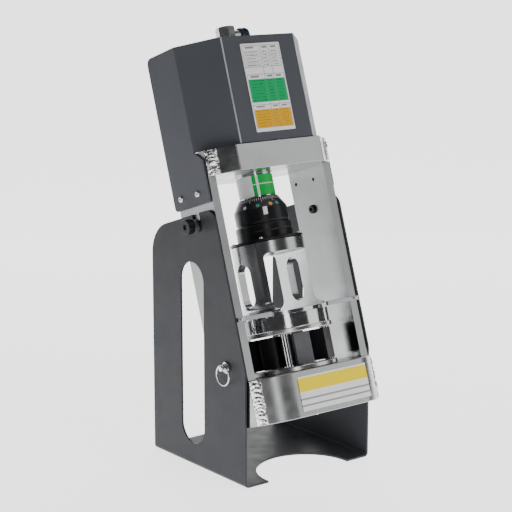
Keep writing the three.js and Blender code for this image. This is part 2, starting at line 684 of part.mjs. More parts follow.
function makeDies() {
  const low = CAGE_LOW + CAGE_PLATE_H + 1.8;
  const high = CAGE_HIGH - CAGE_PLATE_H - 2.4;
  const spread = Math.tan(Math.PI / DIE_COUNT);
  const shoulder = (DIE_HALF + 0.4) / spread + DIE_TRAVEL;
  const tip = (DIE_IN - DIE_TRAVEL) * spread - 0.4;
  const plan = [
    [-DIE_HALF, DIE_OUT], [-DIE_HALF, shoulder], [-tip, DIE_IN], [0, DIE_IN + 0.9],
    [tip, DIE_IN], [DIE_HALF, shoulder], [DIE_HALF, DIE_OUT],
  ];
  for (let k = 0; k < DIE_COUNT; k++) {
    const angle = DIE_TURN + (2 * Math.PI * k) / DIE_COUNT;
    const points = plan.map(([side, out]) => {
      const [x, y] = around(out, angle);
      return new THREE.Vector2(x + side * Math.cos(angle), y - side * Math.sin(angle));
    });
    add("die_" + (k + 1), prismZ(points, low, high), black(), frame);
  }
}

makeStand();
for (const [side, tag] of [[-1, "left"], [1, "right"]]) {
  makeDetent(side, tag);
  makeSidePlate(side, tag);
  makeArm(side, tag);
  makePivot(side, tag);
}
makeTopBlock();
makeLowBlock();
makeWelds();
makeCover();
makeCoverScrews();
makeLabels();
makeCylinder();
makeFittings();
makeRam();
makeRing();
makePusher();
makePressureRing();
makeCage();
makeDies();

// The origin sits under the middle of everything.
root.updateMatrixWorld(true);
const reach = new THREE.Box3().setFromObject(root, true);
const middle = reach.getCenter(new THREE.Vector3());
for (const group of [still, frame]) {
  group.position.y -= middle.y;
  group.position.z -= reach.min.z;
}
root.userData.shift = [middle.y, reach.min.z];

export default root;
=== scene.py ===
"""Looks for a bench hydraulic hose crimping press: finely rounded pieces with procedural finishes."""
import math

import bmesh
import bpy
from mathutils import Matrix, Vector, noise


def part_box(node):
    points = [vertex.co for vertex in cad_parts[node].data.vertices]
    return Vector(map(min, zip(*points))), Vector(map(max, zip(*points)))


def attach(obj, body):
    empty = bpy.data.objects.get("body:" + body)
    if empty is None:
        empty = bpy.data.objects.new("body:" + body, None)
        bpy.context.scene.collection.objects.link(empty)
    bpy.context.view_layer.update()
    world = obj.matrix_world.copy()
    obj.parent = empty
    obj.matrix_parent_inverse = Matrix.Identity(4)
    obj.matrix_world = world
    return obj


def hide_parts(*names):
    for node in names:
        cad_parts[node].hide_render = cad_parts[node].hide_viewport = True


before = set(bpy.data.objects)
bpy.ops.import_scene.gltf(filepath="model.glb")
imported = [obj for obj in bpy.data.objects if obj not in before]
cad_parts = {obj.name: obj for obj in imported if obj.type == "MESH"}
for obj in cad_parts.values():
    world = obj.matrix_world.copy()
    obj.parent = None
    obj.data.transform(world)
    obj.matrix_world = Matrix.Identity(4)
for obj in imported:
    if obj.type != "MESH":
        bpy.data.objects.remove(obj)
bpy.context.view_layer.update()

# ---- sizes, in millimetres, that repeat the CAD's ----
TILT = math.radians(18.3)
FRAME_Y = -50.0  # where the frame's front line, carried on down, meets the floor
SHIFT = -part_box("stand")[0].y * 1000  # from the stand's front edge to the middle of the object
GAP = 0.3  # between pieces that touch

SIDE, DEPTH, SHEET, KNEE_Z = 108.0, 213.0, 3.0, 158.0  # the stand: half its width, its depth, its sheet
GRIP_Y, GRIP_LOW, GRIP_HIGH, GRIP_R = 118.5, 32.0, 287.0, 26.5
ARCH_R = SIDE - 39

PLATE_OUT, PLATE_IN, PLATE_D = 104.0, 92.0, 80.0
AXIS_Y = PLATE_D / 2  # the ram axis, behind the front line of the frame
FRAME_LOW, LOW_HIGH, TOP_LOW, FRAME_HIGH = 95.0, 155.0, 428.5, 463.5
NOSE_TOP, NOSE_TOP_HALF = 29.7, 71.2
NOSE_LOW, ROUND_LOW = 33.4, 54.0
BOWL_R, HOSE_R = 65.0, 36.0

PIVOT_Z = TOP_LOW - 58.5
STAND_TOP = PIVOT_Z + 16
STUD_R, SLOT_HALF = 6.0, 8.0
DETENT = 36.0, LOW_HIGH + 22.8  # back and up in the frame
BARREL_END, NECK_R = SIDE + 4.6, 2.3
PULL_R, PULL_WIRE_R = 13.6, 1.1

COVER_T, COVER_OUT, COVER_HALF = 2.5, PLATE_OUT + 3, 61.5
COVER_FRONT, COVER_BEND, COVER_BACK = -29.0, 18.0, PLATE_D + 6
COVER_TOP = FRAME_HIGH + 145
COVER_SCREWS, COVER_SCREW_Z = (AXIS_Y - 13, PLATE_D - 13), TOP_LOW - 18
SKIRT_LOW = COVER_SCREW_Z - 15
CHART_LOW, CHART_HIGH = 476.0, COVER_TOP - 11.5
CYLINDER_R, PORT_Z = 44.0, COVER_TOP + 16.5

RAM_R, RING_R, COLLAR_R, FLANGE_R = 24.0, 36.8, 39.0, 50.5
PUSHER_R, PUSHER_BASE_R, PRESSURE_R, LEG_IN = 50.0, 62.0, 64.0, 36.3
CAGE_LOW, CAGE_HIGH, CAGE_PLATE_H = 155.4, 212.9, 5.8
CAGE_LOW_R, CAGE_HIGH_R = 64.0, 66.0
POST_R, POST_PCR = 6.5, 54.0
LATCH = 61.0, math.radians(76)  # the lift knob: out from the ram axis, and round to the left
DIE_TURN = math.radians(16.7)
PUSHER_LOW = 237.0
ARM_IN, ARM_LOW = 48.7, PUSHER_LOW - 4
HUB_LOW, HUB_HIGH = PUSHER_LOW + 80, PUSHER_LOW + 97.4
FLANGE_HIGH = HUB_HIGH + 3
COLLAR_HIGH = FLANGE_HIGH + 20.8
RING_HIGH = COLLAR_HIGH + 37.3
BAND_LOW, BAND_HIGH = RING_HIGH + 1.5, RING_HIGH + 30
CONE_SLOPE = math.atan2(9.5, 15.2)  # of the adjusting ring, from upright

STAND = Matrix.Translation((0, -SHIFT / 1000, 0)) @ Matrix.Scale(0.001, 4)
TILTED = (Matrix.Translation((0, (FRAME_Y - SHIFT) / 1000, 0)) @ Matrix.Rotation(-TILT, 4, "X")
          @ Matrix.Scale(0.001, 4))


# ---- mesh building ----
def placed(back, up):
    """A point in frame coordinates (back, up) as the stand's (y, z)."""
    c, s = math.cos(TILT), math.sin(TILT)
    return FRAME_Y + back * c + up * s, -back * s + up * c


def outline(corners, steps=8):
    """Corners of (x, y, radius) as points, with an arc of that radius at each corner that has one."""
    out = []
    n = len(corners)
    for i, (x, y, r) in enumerate(corners):
        here = Vector((x, y))
        if not r:
            out.append(here)
            continue
        a = (Vector(corners[i - 1][:2]) - here).normalized()
        b = (Vector(corners[(i + 1) % n][:2]) - here).normalized()
        half = a.angle(b) / 2
        centre = here + (a + b).normalized() * (r / math.sin(half))
        start = here + a * (r / math.tan(half)) - centre
        turn = (math.pi - 2 * half) * math.copysign(1, b.x * a.y - b.y * a.x)
        for k in range(steps + 1):
            t = turn * k / steps
            out.append(centre + Vector((start.x * math.cos(t) - start.y * math.sin(t),
                                        start.x * math.sin(t) + start.y * math.cos(t))))
    return out


def smooth(obj):
    for p in obj.data.polygons:
        p.use_smooth = True


def new_object(name, bm, space=TILTED):
    bmesh.ops.remove_doubles(bm, verts=bm.verts, dist=1e-4)
    bmesh.ops.recalc_face_normals(bm, faces=bm.faces)
    mesh = bpy.data.meshes.new(name)
    bm.to_mesh(mesh)
    bm.free()
    obj = bpy.data.objects.new(name, mesh)
    bpy.context.scene.collection.objects.link(obj)
    obj.matrix_world = space
    return obj


AXES = {"x": lambda a, b, c: (c, a, b), "y": lambda a, b, c: (a, c, b), "z": lambda a, b, c: (a, b, c)}


def prism(points, low, high, axis="z", space=TILTED):
    """An outline in the plane across axis, (y, z), (x, z) or (x, y), carried from low to high."""
    put = AXES[axis]
    bm = bmesh.new()
    rings = [[bm.verts.new(put(p[0], p[1], c)) for p in points] for c in (low, high)]
    bm.faces.new(rings[0])
    bm.faces.new(rings[1])
    n = len(points)
    for i in range(n):
        j = (i + 1) % n
        bm.faces.new((rings[0][i], rings[0][j], rings[1][j], rings[1][i]))
    return new_object("piece", bm, space)


def box(x0, x1, y0, y1, z0, z1):
    return prism([(x0, y0), (x1, y0), (x1, y1), (x0, y1)], z0, z1)


def turned(profile, centre=(0, AXIS_Y), steps=96, axis="z", side=1, space=TILTED):
    """Profile of (radius, height) turned about axis; it closes on itself or starts and ends on the axis."""
    put = AXES[axis]
    bm = bmesh.new()
    closed = profile[0] == profile[-1]
    rings = []
    turns = [2 * math.pi * (k + 0.5) / steps for k in range(steps)]
    for r, h in profile[:-1] if closed else profile:
        spots = [(r * math.cos(t), r * math.sin(t)) for t in turns] if r else [(0, 0)]
        rings.append([bm.verts.new(put(centre[0] + a, centre[1] + b, side * h)) for a, b in spots])
    pairs = list(zip(rings, rings[1:])) + ([(rings[-1], rings[0])] if closed else [])
    for lower, upper in pairs:
        for k in range(steps):
            j = (k + 1) % steps
            corners = list(dict.fromkeys((lower[k % len(lower)], lower[j % len(lower)],
                                          upper[j % len(upper)], upper[k % len(upper)])))
            if len(corners) > 2:
                bm.faces.new(corners)
    return new_object("piece", bm, space)


def rod(r, z0, z1, centre=(0, AXIS_Y), steps=64, axis="z", side=1, space=TILTED):
    return turned([(0, z0), (r, z0), (r, z1), (0, z1)], centre, steps, axis, side, space)


def hexagon(centre, across, turn=0.0):
    r = across / math.sqrt(3)
    return [(centre[0] + r * math.cos(turn + k * math.pi / 3),
             centre[1] + r * math.sin(turn + k * math.pi / 3))
            for k in range(6)]


def obround(cx, low, high, r, steps=20):
    out = []
    for k in range(steps + 1):
        t = math.pi * k / steps
        out.append((cx + r * math.cos(t), high - r + r * math.sin(t)))
    for k in range(steps + 1):
        t = math.pi + math.pi * k / steps
        out.append((cx + r * math.cos(t), low + r + r * math.sin(t)))
    return out


def torus(centre, big, wire, space, steps=72, around=16):
    """A ring in the plane across x."""
    bm = bmesh.new()
    rings = []
    for i in range(steps):
        t = 2 * math.pi * i / steps
        ring = []
        for j in range(around):
            u = 2 * math.pi * j / around
            r = big + wire * math.cos(u)
            ring.append(bm.verts.new((centre[0] + wire * math.sin(u), centre[1] + r * math.cos(t),
                                      centre[2] + r * math.sin(t))))
        rings.append(ring)
    for i in range(steps):
        a, b = rings[i], rings[(i + 1) % steps]
        for j in range(around):
            k = (j + 1) % around
            bm.faces.new((a[j], a[k], b[k], b[j]))
    return new_object("piece", bm, space)


def bake(obj):
    """Turns the modifiers into mesh."""
    made = bpy.data.meshes.new_from_object(obj.evaluated_get(bpy.context.evaluated_depsgraph_get()))
    old = obj.data
    obj.modifiers.clear()
    obj.data = made
    bpy.data.meshes.remove(old)
    return obj


def combine(obj, other, how):
    """Joins, cuts or crosses obj with other, which is used up."""
    bpy.context.view_layer.update()
    m = obj.modifiers.new("combine", "BOOLEAN")
    m.operation = how
    m.solver = "EXACT"
    m.object = other
    bake(obj)
    bpy.data.objects.remove(other)
    return obj


def cut(obj, *tools):
    for tool in tools:
        combine(obj, tool, "DIFFERENCE")
    return obj


def weld_on(obj, *others):
    for other in others:
        combine(obj, other, "UNION")
    return obj


def soften(obj, width, segments=3):
    """Rounded edges of that width in millimetres, and smooth shading with flat faces kept flat."""
    mesh = obj.data
    bm = bmesh.new()
    bm.from_mesh(mesh)
    bmesh.ops.dissolve_limit(bm, angle_limit=math.radians(0.6), verts=bm.verts, edges=bm.edges)
    bm.to_mesh(mesh)
    bm.free()
    if width:
        m = obj.modifiers.new("bevel", "BEVEL")
        m.width = width
        m.segments = segments
        m.limit_method = "ANGLE"
        m.angle_limit = math.radians(30)
        m.miter_outer = "MITER_ARC"
        bake(obj)
    smooth(obj)
    obj.data.set_sharp_from_angle(angle=math.radians(40))
    m = obj.modifiers.new("normals", "WEIGHTED_NORMAL")
    m.keep_sharp = True
    m.weight = 100
    bake(obj)
    return obj


def keep(obj, name, body, material, *nodes, slot=None):
    """Names a finished piece, gives it its finish and its body, and hides the CAD nodes it stands for."""
    obj.name = name
    obj.data.name = name
    obj.data.materials.clear()
    for m in material if isinstance(material, (list, tuple)) else [material]:
        obj.data.materials.append(m)
    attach(obj, body)
    if nodes:
        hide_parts(*nodes)
    return obj


# ---- finishes ----
class Finish:
    """A small writer of node materials. Coordinates are the piece's own millimetres."""

    def __init__(self, name, color, metallic, roughness, gloss=0.5):
        self.material = bpy.data.materials.new(name)
        self.material.use_nodes = True
        self.tree = self.material.node_tree
        self.shader = self.tree.nodes["Principled BSDF"]
        self.shader.inputs["Base Color"].default_value = (*color, 1)
        self.shader.inputs["Metallic"].default_value = metallic
        self.shader.inputs["Roughness"].default_value = roughness
        self.shader.inputs["Specular IOR Level"].default_value = gloss
        self.coords = self.node("TexCoord").outputs["Object"]
        self.height = None

    def node(self, kind, values=None, **settings):
        n = self.tree.nodes.new("ShaderNode" + kind)
        for key, value in settings.items():
            setattr(n, key, value)
        for key, value in (values or {}).items():
            if isinstance(value, bpy.types.NodeSocket):
                self.tree.links.new(value, n.inputs[key])
            else:
                n.inputs[key].default_value = value
        return n

    def math(self, how, a, b=0.0, c=0.0):
        return self.node("Math", {0: a, 1: b, 2: c}, operation=how).outputs[0]

    def scaled(self, x, y, z):
        return self.node("Mapping", {"Vector": self.coords, "Scale": (x, y, z)}).outputs[0]

    def noise(self, scale, detail=2.0, rough=0.5, vector=None):
        values = {"Vector": vector or self.coords, "Scale": scale, "Detail": detail, "Roughness": rough}
        return self.node("TexNoise", values).outputs["Fac"]

    def spread(self, value, low, high, to_low=0.0, to_high=1.0):
        values = {0: value, 1: low, 2: high, 3: to_low, 4: to_high}
        return self.node("MapRange", values, clamp=True).outputs[0]

    def mix(self, fac, a, b):
        n = self.tree.nodes.new("ShaderNodeMix")
        n.data_type = "RGBA"
        for socket, value in ((n.inputs[0], fac), (n.inputs[6], a), (n.inputs[7], b)):
            if isinstance(value, bpy.types.NodeSocket):
                self.tree.links.new(value, socket)
            else:
                socket.default_value = value if isinstance(value, float) else (*value, 1)
        return n.outputs[2]

    def round_coords(self):
        """(distance from the ram axis, 0, height), for turning marks."""
        split = self.node("SeparateXYZ", {0: self.coords})
        y = self.math("SUBTRACT", split.outputs[1], AXIS_Y)
        r = self.math("SQRT", self.math("ADD", self.math("MULTIPLY", split.outputs[0], split.outputs[0]),
                                        self.math("MULTIPLY", y, y)))
        return self.node("CombineXYZ", {0: r, 1: 0.0, 2: split.outputs[2]}).outputs[0]

    def paint(self, color):
        self.tree.links.new(color, self.shader.inputs["Base Color"])
        return self

    def rough(self, value):
        self.tree.links.new(value, self.shader.inputs["Roughness"])
        return self

    def bump(self, height, distance, strength=1.0):
        values = {"Height": height, "Distance": distance, "Strength": strength}
        n = self.node("Bump", values)
        if self.height is not None:
            self.tree.links.new(self.height, n.inputs["Normal"])
        self.height = n.outputs[0]
        self.tree.links.new(self.height, self.shader.inputs["Normal"])
        return self

    def inside(self, value, low, high, soft=0.12):
        """1 between low and high, fading out over soft on both sides."""
        rise = self.spread(value, low - soft, low + soft)
        return self.math("MULTIPLY", rise, self.spread(value, high - soft, high + soft, 1.0, 0.0))

    def edges(self):
        """1 along worn outer edges."""
        return self.spread(self.node("NewGeometry").outputs["Pointiness"], 0.62, 0.74)


def powder(name, color, rough=0.42, bend=None):
    """Fine textured paint, with a painted highlight line, broken into patches, along the two upright bends at
    x = -bend and x = bend.
    """
    f = Finish(name, color, 0.0, rough, 0.14)
    cloud = f.noise(0.012, 3.0)
    lighter = tuple(c * 1.16 for c in color)
    darker = tuple(c * 0.9 for c in color)
    tone = f.mix(f.spread(f.noise(0.9, 2.0), 0.35, 0.65, 0.0, 0.25), f.mix(cloud, darker, lighter), lighter)
    # painted highlight: a lighter, patchy line along each front bend, where the bend would catch the light
    if bend:
        split = f.node("SeparateXYZ", {0: f.coords})
        away = f.math("ABSOLUTE", f.math("SUBTRACT", f.math("ABSOLUTE", split.outputs[0]), bend))
        front = f.spread(split.outputs[1], -27.5, -26.5, 1.0, 0.0)
        patchy = f.spread(f.noise(0.06, 3.0), 0.3, 0.55, 0.55, 1.0)
        bend_highlight = f.math("MULTIPLY", f.spread(away, 0.5, 1.1, 1.0, 0.0), patchy)
        tone = f.mix(f.math("MULTIPLY", bend_highlight, front), tone, (0.5, 0.51, 0.54))
    f.paint(tone)
    f.rough(f.spread(f.noise(0.05, 3.0), 0.3, 0.7, rough - 0.05, rough + 0.07))
    f.bump(f.noise(0.55, 2.0), 0.00006, 0.5)
    return f.material


def plate(name, color, rough, along=(2.2, 2.2, 0.02), cloud=0.5, polished_below=0):
    """Rolled or milled steel: fine lines one way and clouds, and shinier below a height if one is given."""
    f = Finish(name, color, 1.0, rough)
    lines = f.noise(1.0, 3.0, 0.6, f.scaled(*along))
    clouds = f.spread(f.noise(0.022, 4.0, 0.6), 0.3, 0.7)
    darker = tuple(c * (1 - 0.34 * cloud) for c in color)
    lined = tuple(c * 0.8 for c in color)
    f.paint(f.mix(f.math("MULTIPLY", lines, 0.35), f.mix(clouds, darker, color), lined))
    matt = f.spread(clouds, 0.0, 1.0, rough - 0.06, rough + 0.1)
    matt = f.math("ADD", matt, f.math("MULTIPLY", lines, 0.1))
    if polished_below:
        height = f.node("SeparateXYZ", {0: f.coords}).outputs[2]
        matt = f.math("MULTIPLY", matt, f.spread(height, polished_below - 30, polished_below + 40, 0.25, 1.0))
    f.rough(matt)
    f.bump(lines, 0.00004, 0.5)
    return f.material


def lathe_finish(name, color, rough, metallic=1.0, marks=1.6):
    """Turned metal: fine rings about the ram axis."""
    f = Finish(name, color, metallic, rough)
    rings = f.noise(marks, 3.0, 0.65, f.round_coords())
    smear = f.noise(0.03, 3.0)
    f.paint(f.mix(f.math("MULTIPLY", rings, 0.4), color, tuple(c * 0.7 for c in color)))
    matt = f.spread(smear, 0.3, 0.7, rough - 0.03, rough + 0.08)
    f.rough(f.math("ADD", matt, f.math("MULTIPLY", rings, 0.08)))
    f.bump(rings, 0.00003, 0.6)
    return f.material


def blackened(name, color=(0.011, 0.011, 0.013), rough=0.33):
    """Black oxide on steel, worn grey along its outer edges."""
    f = Finish(name, color, 0.55, rough)
    patches = f.noise(0.09, 3.0)
    lighter = tuple(c * 1.4 for c in color)
    wear = f.math("MULTIPLY", f.edges(), f.spread(f.noise(0.25, 3.0), 0.4, 0.62))
    f.paint(f.mix(wear, f.mix(patches, color, lighter), (0.16, 0.16, 0.17)))
    f.rough(f.spread(f.noise(0.05, 2.0), 0.3, 0.7, rough - 0.04, rough + 0.05))
    f.bump(f.noise(0.9, 2.0), 0.00002, 0.15)
    return f.material


def polished(name, color=(0.76, 0.77, 0.78), rough=0.1):
    f = Finish(name, color, 1.0, rough)
    f.rough(f.spread(f.noise(0.15, 4.0), 0.3, 0.75, rough - 0.03, rough + 0.09))
    f.paint(f.mix(f.noise(0.2, 2.0), color, tuple(c * 0.86 for c in color)))
    f.bump(f.noise(1.6, 2.0), 0.00001, 0.4)
    return f.material


def weld_metal():
    f = Finish("weld_metal", (0.74, 0.74, 0.73), 1.0, 0.22)
    pits = f.spread(f.noise(0.16, 2.0, 0.6), 0.33, 0.41)
    f.paint(f.mix(pits, (0.1, 0.095, 0.09), (0.86, 0.86, 0.85)))
    f.rough(f.spread(f.noise(0.2, 3.0), 0.3, 0.7, 0.16, 0.34))
    folds = f.node("TexVoronoi", {"Vector": f.coords, "Scale": 0.17}, feature="SMOOTH_F1").outputs["Distance"]
    f.bump(f.math("ADD", f.math("MULTIPLY", folds, 0.8), f.noise(0.11, 2.0, 0.4)), 0.0022, 0.8)
    return f.material


def chart():
    """A plain three-part chart: white, green and amber blocks in rows and columns, with no lettering."""
    white, green, amber, grey = (0.9, 0.9, 0.89), (0.0, 0.42, 0.13), (0.86, 0.45, 0.01), (0.16, 0.17, 0.18)
    blocks = ((564.5, 587.5, 5, white), (516.5, 547.5, 7, green), (481.5, 506.0, 6, amber))
    heads = ((588.5, 594.0), (548.5, 554.0), (507.5, 512.5))
    f = Finish("chart_film", white, 0.0, 0.4, 0.15)
    split = f.node("SeparateXYZ", {0: f.coords})
    x, z = split.outputs[0], split.outputs[2]
    color = white
    for low, high, rows, tone in blocks:
        body = f.math("MULTIPLY", f.inside(z, low, high), f.inside(x, -30.5, 30.5))
        color = f.mix(body, color, tone)
        row = f.math("FRACT", f.math("DIVIDE", f.math("SUBTRACT", z, low), (high - low) / rows))
        off = f.math("ABSOLUTE", f.math("SUBTRACT", row, 0.5))
        ink = grey if tone is white else tuple(c * 0.45 for c in tone)
        rule = f.math("MULTIPLY", body, f.spread(off, 0.44, 0.48))
        color = f.mix(f.math("MULTIPLY", rule, 0.9), color, ink)
        bar = f.math("MULTIPLY", f.spread(off, 0.12, 0.2, 1.0, 0.0), body)
        speck = f.spread(f.noise(0.9, 2.0, 0.5, f.scaled(1.0, 0.0, 0.35)), 0.42, 0.5)
        for left, right in ((-28, -5), (1, 10), (16, 26)):
            mark = f.math("MULTIPLY", f.math("MULTIPLY", bar, f.inside(x, left, right)), speck)
            color = f.mix(f.math("MULTIPLY", mark, 0.95), color, ink)
    for low, high, _, _ in blocks:
        whole = f.math("MULTIPLY", f.inside(z, low - 0.5, high + 6.8), f.inside(x, -31.2, 31.2))
        within = f.math("MULTIPLY", f.inside(z, low + 0.1, high + 6.2), f.inside(x, -30.6, 30.6))
        frame_line = f.math("MULTIPLY", f.math("SUBTRACT", whole, within), 0.85)
        color = f.mix(frame_line, color, (0.1, 0.1, 0.11))
    for low, high in heads:
        for left, right in ((-26, -12), (2, 11), (17, 26)):
            mark = f.math("MULTIPLY", f.inside(z, low + 1.4, high - 1.4), f.inside(x, left, right))
            color = f.mix(f.math("MULTIPLY", mark, 0.8), color, (0.12, 0.12, 0.12))
    for column in (-1.5, 13.5):
        line = f.math("MULTIPLY", f.inside(x, column - 0.35, column + 0.35), f.inside(z, 481.5, 594.0))
        color = f.mix(f.math("MULTIPLY", line, 0.8), color, grey)
    middle = (CHART_LOW + CHART_HIGH) / 2
    border = f.math("MAXIMUM", f.spread(f.math("ABSOLUTE", x), 31.2, 31.5),
                    f.spread(f.math("ABSOLUTE", f.math("SUBTRACT", z, middle)), 58.6, 58.9))
    f.paint(f.mix(f.math("MULTIPLY", border, 0.25), color, white))
    f.rough(f.spread(f.noise(0.2, 2.0), 0.3, 0.7, 0.32, 0.45))
    f.bump(f.noise(0.5, 2.0), 0.00003, 0.3)
    return f.material


def front_label():
    """White film with a yellow band along its top and two grey rules, and no lettering."""
    white, yellow, grey = (0.84, 0.84, 0.83), (0.95, 0.72, 0.0), (0.2, 0.2, 0.21)
    f = Finish("front_label_film", white, 0.0, 0.45, 0.15)
    z = f.node("SeparateXYZ", {0: f.coords}).outputs[2]
    color = f.mix(f.inside(z, 127.5, 145.2, 0.1), white, yellow)
    for low in (108.0, 116.5):
        color = f.mix(f.math("MULTIPLY", f.inside(z, low + 0.1, low + 2.3, 0.1), 0.85), color, grey)
    f.paint(color)
    f.rough(f.spread(f.noise(0.2, 2.0), 0.3, 0.7, 0.3, 0.42))
    f.bump(f.noise(0.35, 2.0), 0.00004, 0.4)
    return f.material


def sleeve():
    """White on one half and green on the other, with a pale rule round the green and a painted highlight
    stripe up it.
    """
    white, green, pale = (0.86, 0.87, 0.87), (0.0, 0.42, 0.06), (0.6, 0.75, 0.62)
    f = Finish("scale_sleeve", white, 0.0, 0.35, 0.3)
    turn = math.radians(39)
    split = f.node("SeparateXYZ", {0: f.coords})
    y = f.math("SUBTRACT", split.outputs[1], AXIS_Y)
    across = f.math("ADD", f.math("MULTIPLY", split.outputs[0], math.cos(turn)),
                    f.math("MULTIPLY", y, -math.sin(turn)))
    rule = f.inside(split.outputs[2], 412.15, 413.45, 0.15)
    color = f.mix(f.spread(across, -3.2, -2.8), white, f.mix(rule, green, pale))
    # painted highlight: a white stripe up the green, just right of the face turned towards the camera
    f.paint(f.mix(f.inside(across, 2.2, 5.6, 0.2), color, white))
    f.rough(f.spread(f.noise(0.2, 2.0), 0.3, 0.7, 0.28, 0.42))
    f.bump(f.noise(0.5, 2.0), 0.00003, 0.3)
    return f.material


def plain_film(name, color):
    f = Finish(name, color, 0.0, 0.4)
    f.paint(f.mix(f.noise(0.3, 2.0), color, tuple(c * 0.93 for c in color)))
    f.bump(f.noise(0.6, 2.0), 0.00002, 0.3)
    return f.material


def enamel(name, color, rough=0.3):
    f = Finish(name, color, 0.0, rough)
    f.paint(f.mix(f.noise(0.05, 3.0), color, tuple(c * 1.3 for c in color)))
    f.rough(f.spread(f.noise(0.1, 3.0), 0.3, 0.7, rough - 0.06, rough + 0.1))
    f.bump(f.noise(0.4, 2.0), 0.00005, 0.4)
    return f.material


POWDER = powder("stand_powder", (0.041, 0.0435, 0.0485))
# 61.5 places the painted bend highlight on the cover's two front bends
COVER_POWDER = powder("cover_powder", (0.078, 0.082, 0.094), 0.4, 61.5)
PLATE = plate("zinc_plate", (0.4, 0.405, 0.41), 0.28, cloud=1.0, polished_below=225)
BLOCK = plate("milled_block", (0.47, 0.475, 0.48), 0.2, (0.02, 2.2, 2.2), 0.35)
STRIP = plate("zinc_strip", (0.5, 0.52, 0.54), 0.28, (0.03, 2.0, 2.0))
TURNED = lathe_finish("turned_steel", (0.52, 0.525, 0.535), 0.16)
CAGE = lathe_finish("cage_plate", (0.7, 0.69, 0.67), 0.18)
CHROME = polished("polished_steel")
SMALL = polished("nickel_hardware", (0.74, 0.75, 0.76), 0.16)
ZINC = polished("zinc_fitting", (0.6, 0.61, 0.61), 0.26)
BLACK = lathe_finish("black_turned", (0.007, 0.007, 0.009), 0.26, 0.3, 1.1)
DIE = blackened("die_black")
# A lighter copy of the die black, for the first die only: painted sheen where its face catches the light.
DIE_PAINTED_SHEEN = blackened("die_face_grey", (0.13, 0.135, 0.145), 0.4)
KNOB = blackened("knob_black", (0.014, 0.014, 0.015), 0.36)
WELD = weld_metal()
CYLINDER = enamel("cylinder_enamel", (0.02, 0.02, 0.022))
BLUE = enamel("coupler_blue", (0.012, 0.025, 0.06), 0.28)
WHITE_MARK = plain_film("white_mark", (0.8, 0.81, 0.82))
GREEN_MARK = plain_film("green_mark", (0.04, 0.3, 0.18))
AMBER_MARK = plain_film("amber_mark", (0.7, 0.4, 0.08))
DARK = enamel("socket_dark", (0.006, 0.006, 0.007), 0.5)


# ---- stand ----
def make_stand():
    w, tall = SIDE, 420
    outer = outline([(-w, 0, 6), (w, 0, 6), (w, tall, 0), (-w, tall, 0)], 10)
    inner = outline([(-w + SHEET, SHEET, 3), (w - SHEET, SHEET, 3), (w - SHEET, tall + 10, 0),
                     (-w + SHEET, tall + 10, 0)], 10)
    top_y, top_z = placed(-2, STAND_TOP)
    rear_z = top_z - (DEPTH - top_y) * math.tan(TILT)
    side = outline([(0, 0, 0), (DEPTH, 0, 0), (DEPTH, rear_z, 48), (top_y, top_z, 18), (0, KNEE_Z, 30)], 14)
    made = prism(outer, 0, DEPTH, "y", STAND)
    cut(made, prism(inner, -2, DEPTH + 2, "y", STAND))
    combine(made, prism(side, -w - 1, w + 1, "x", STAND), "INTERSECT")
    slot = [(AXIS_Y + SLOT_HALF * math.cos(math.pi + math.pi * k / 16),
             PIVOT_Z - 1 + SLOT_HALF * math.sin(math.pi + math.pi * k / 16)) for k in range(17)]
    slot += [(AXIS_Y + SLOT_HALF, STAND_TOP + 12), (AXIS_Y - SLOT_HALF, STAND_TOP + 12)]
    cut(made, prism(obround(GRIP_Y, GRIP_LOW, GRIP_HIGH, GRIP_R), -w - 2, w + 2, "x", STAND),
        prism([placed(back, up) for back, up in slot], -w - 2, w + 2, "x", STAND),
        rod(ARCH_R, -1, SHEET + 1, (0, 4), 128, space=STAND))
    for sign in (-1, 1):
        cut(made, rod(5.8, w - 5, w + 2, placed(*DETENT), 32, "x", sign, STAND))
    soften(made, 0.7, 3)
    keep(made, "folded_stand", "stand", POWDER, "stand", slot="powder_coat")


def make_detent(sign, tag):
    y, z = placed(*DETENT)
    w, end = SIDE, BARREL_END
    low, high = sorted((sign * (w + GAP), sign * (w + 2.9)))
    barrel = prism(hexagon((y, z), 14.4, 0.2), low, high, "x", STAND)
    weld_on(barrel, turned([(0, w - 2.7), (5.4, w - 2.7), (5.4, w + 2), (5.0, w + 3.2), (5.4, w + 3.6),
                            (5.4, end - 0.5), (4.9, end), (0, end)], (y, z), 48, "x", sign, STAND))
    cut(barrel, rod(2.9, w - 5, w + 12, (y, z), 32, "x", sign, STAND))
    soften(barrel, 0.35, 2)
    keep(barrel, "detent_nut_" + tag, "stand", ZINC, "detent_barrel_" + tag, slot="zinc_hardware")
    head = end + 4
    pin = turned([(0, w - 2.4), (2.5, w - 2.4), (2.5, end + 0.3), (NECK_R, end + 0.5), (NECK_R, head),
                  (3.5, head + 0.2), (3.9, head + 0.7), (3.9, head + 1.8), (3.4, head + 2.6), (2.2, head + 3),
                  (0, head + 3)], (y, z), 40, "x", sign, STAND)
    soften(pin, 0)
    keep(pin, "plunger_pin_" + tag, "detent_pin_" + tag, SMALL, "detent_pin_" + tag, slot="bright_hardware")
    hang = z + NECK_R + PULL_WIRE_R + GAP - PULL_R
    ring = torus((sign * (end + 2.2), y, hang), PULL_R, PULL_WIRE_R, STAND)
    soften(ring, 0)
    keep(ring, "split_ring_" + tag, "pull_ring_" + tag, SMALL, "pull_ring_" + tag, slot="bright_hardware")


# ---- frame weldment ----
def make_side_plate(sign, tag):
    x0, x1 = sorted((sign * PLATE_IN, sign * PLATE_OUT))
    made = box(x0, x1, 0, PLATE_D, FRAME_LOW, FRAME_HIGH)
    cut(made, rod(STUD_R + GAP, PLATE_IN - 1, PLATE_OUT + 1, (AXIS_Y, PIVOT_Z), 48, "x", sign))
    for y in COVER_SCREWS:
        cut(made, rod(2.6, PLATE_IN - 1, PLATE_OUT + 1, (y, COVER_SCREW_Z), 32, "x", sign))
    soften(made, 0.8, 3)
    keep(made, "frame_plate_" + tag, "frame", PLATE, "side_plate_" + tag, slot="frame_steel")


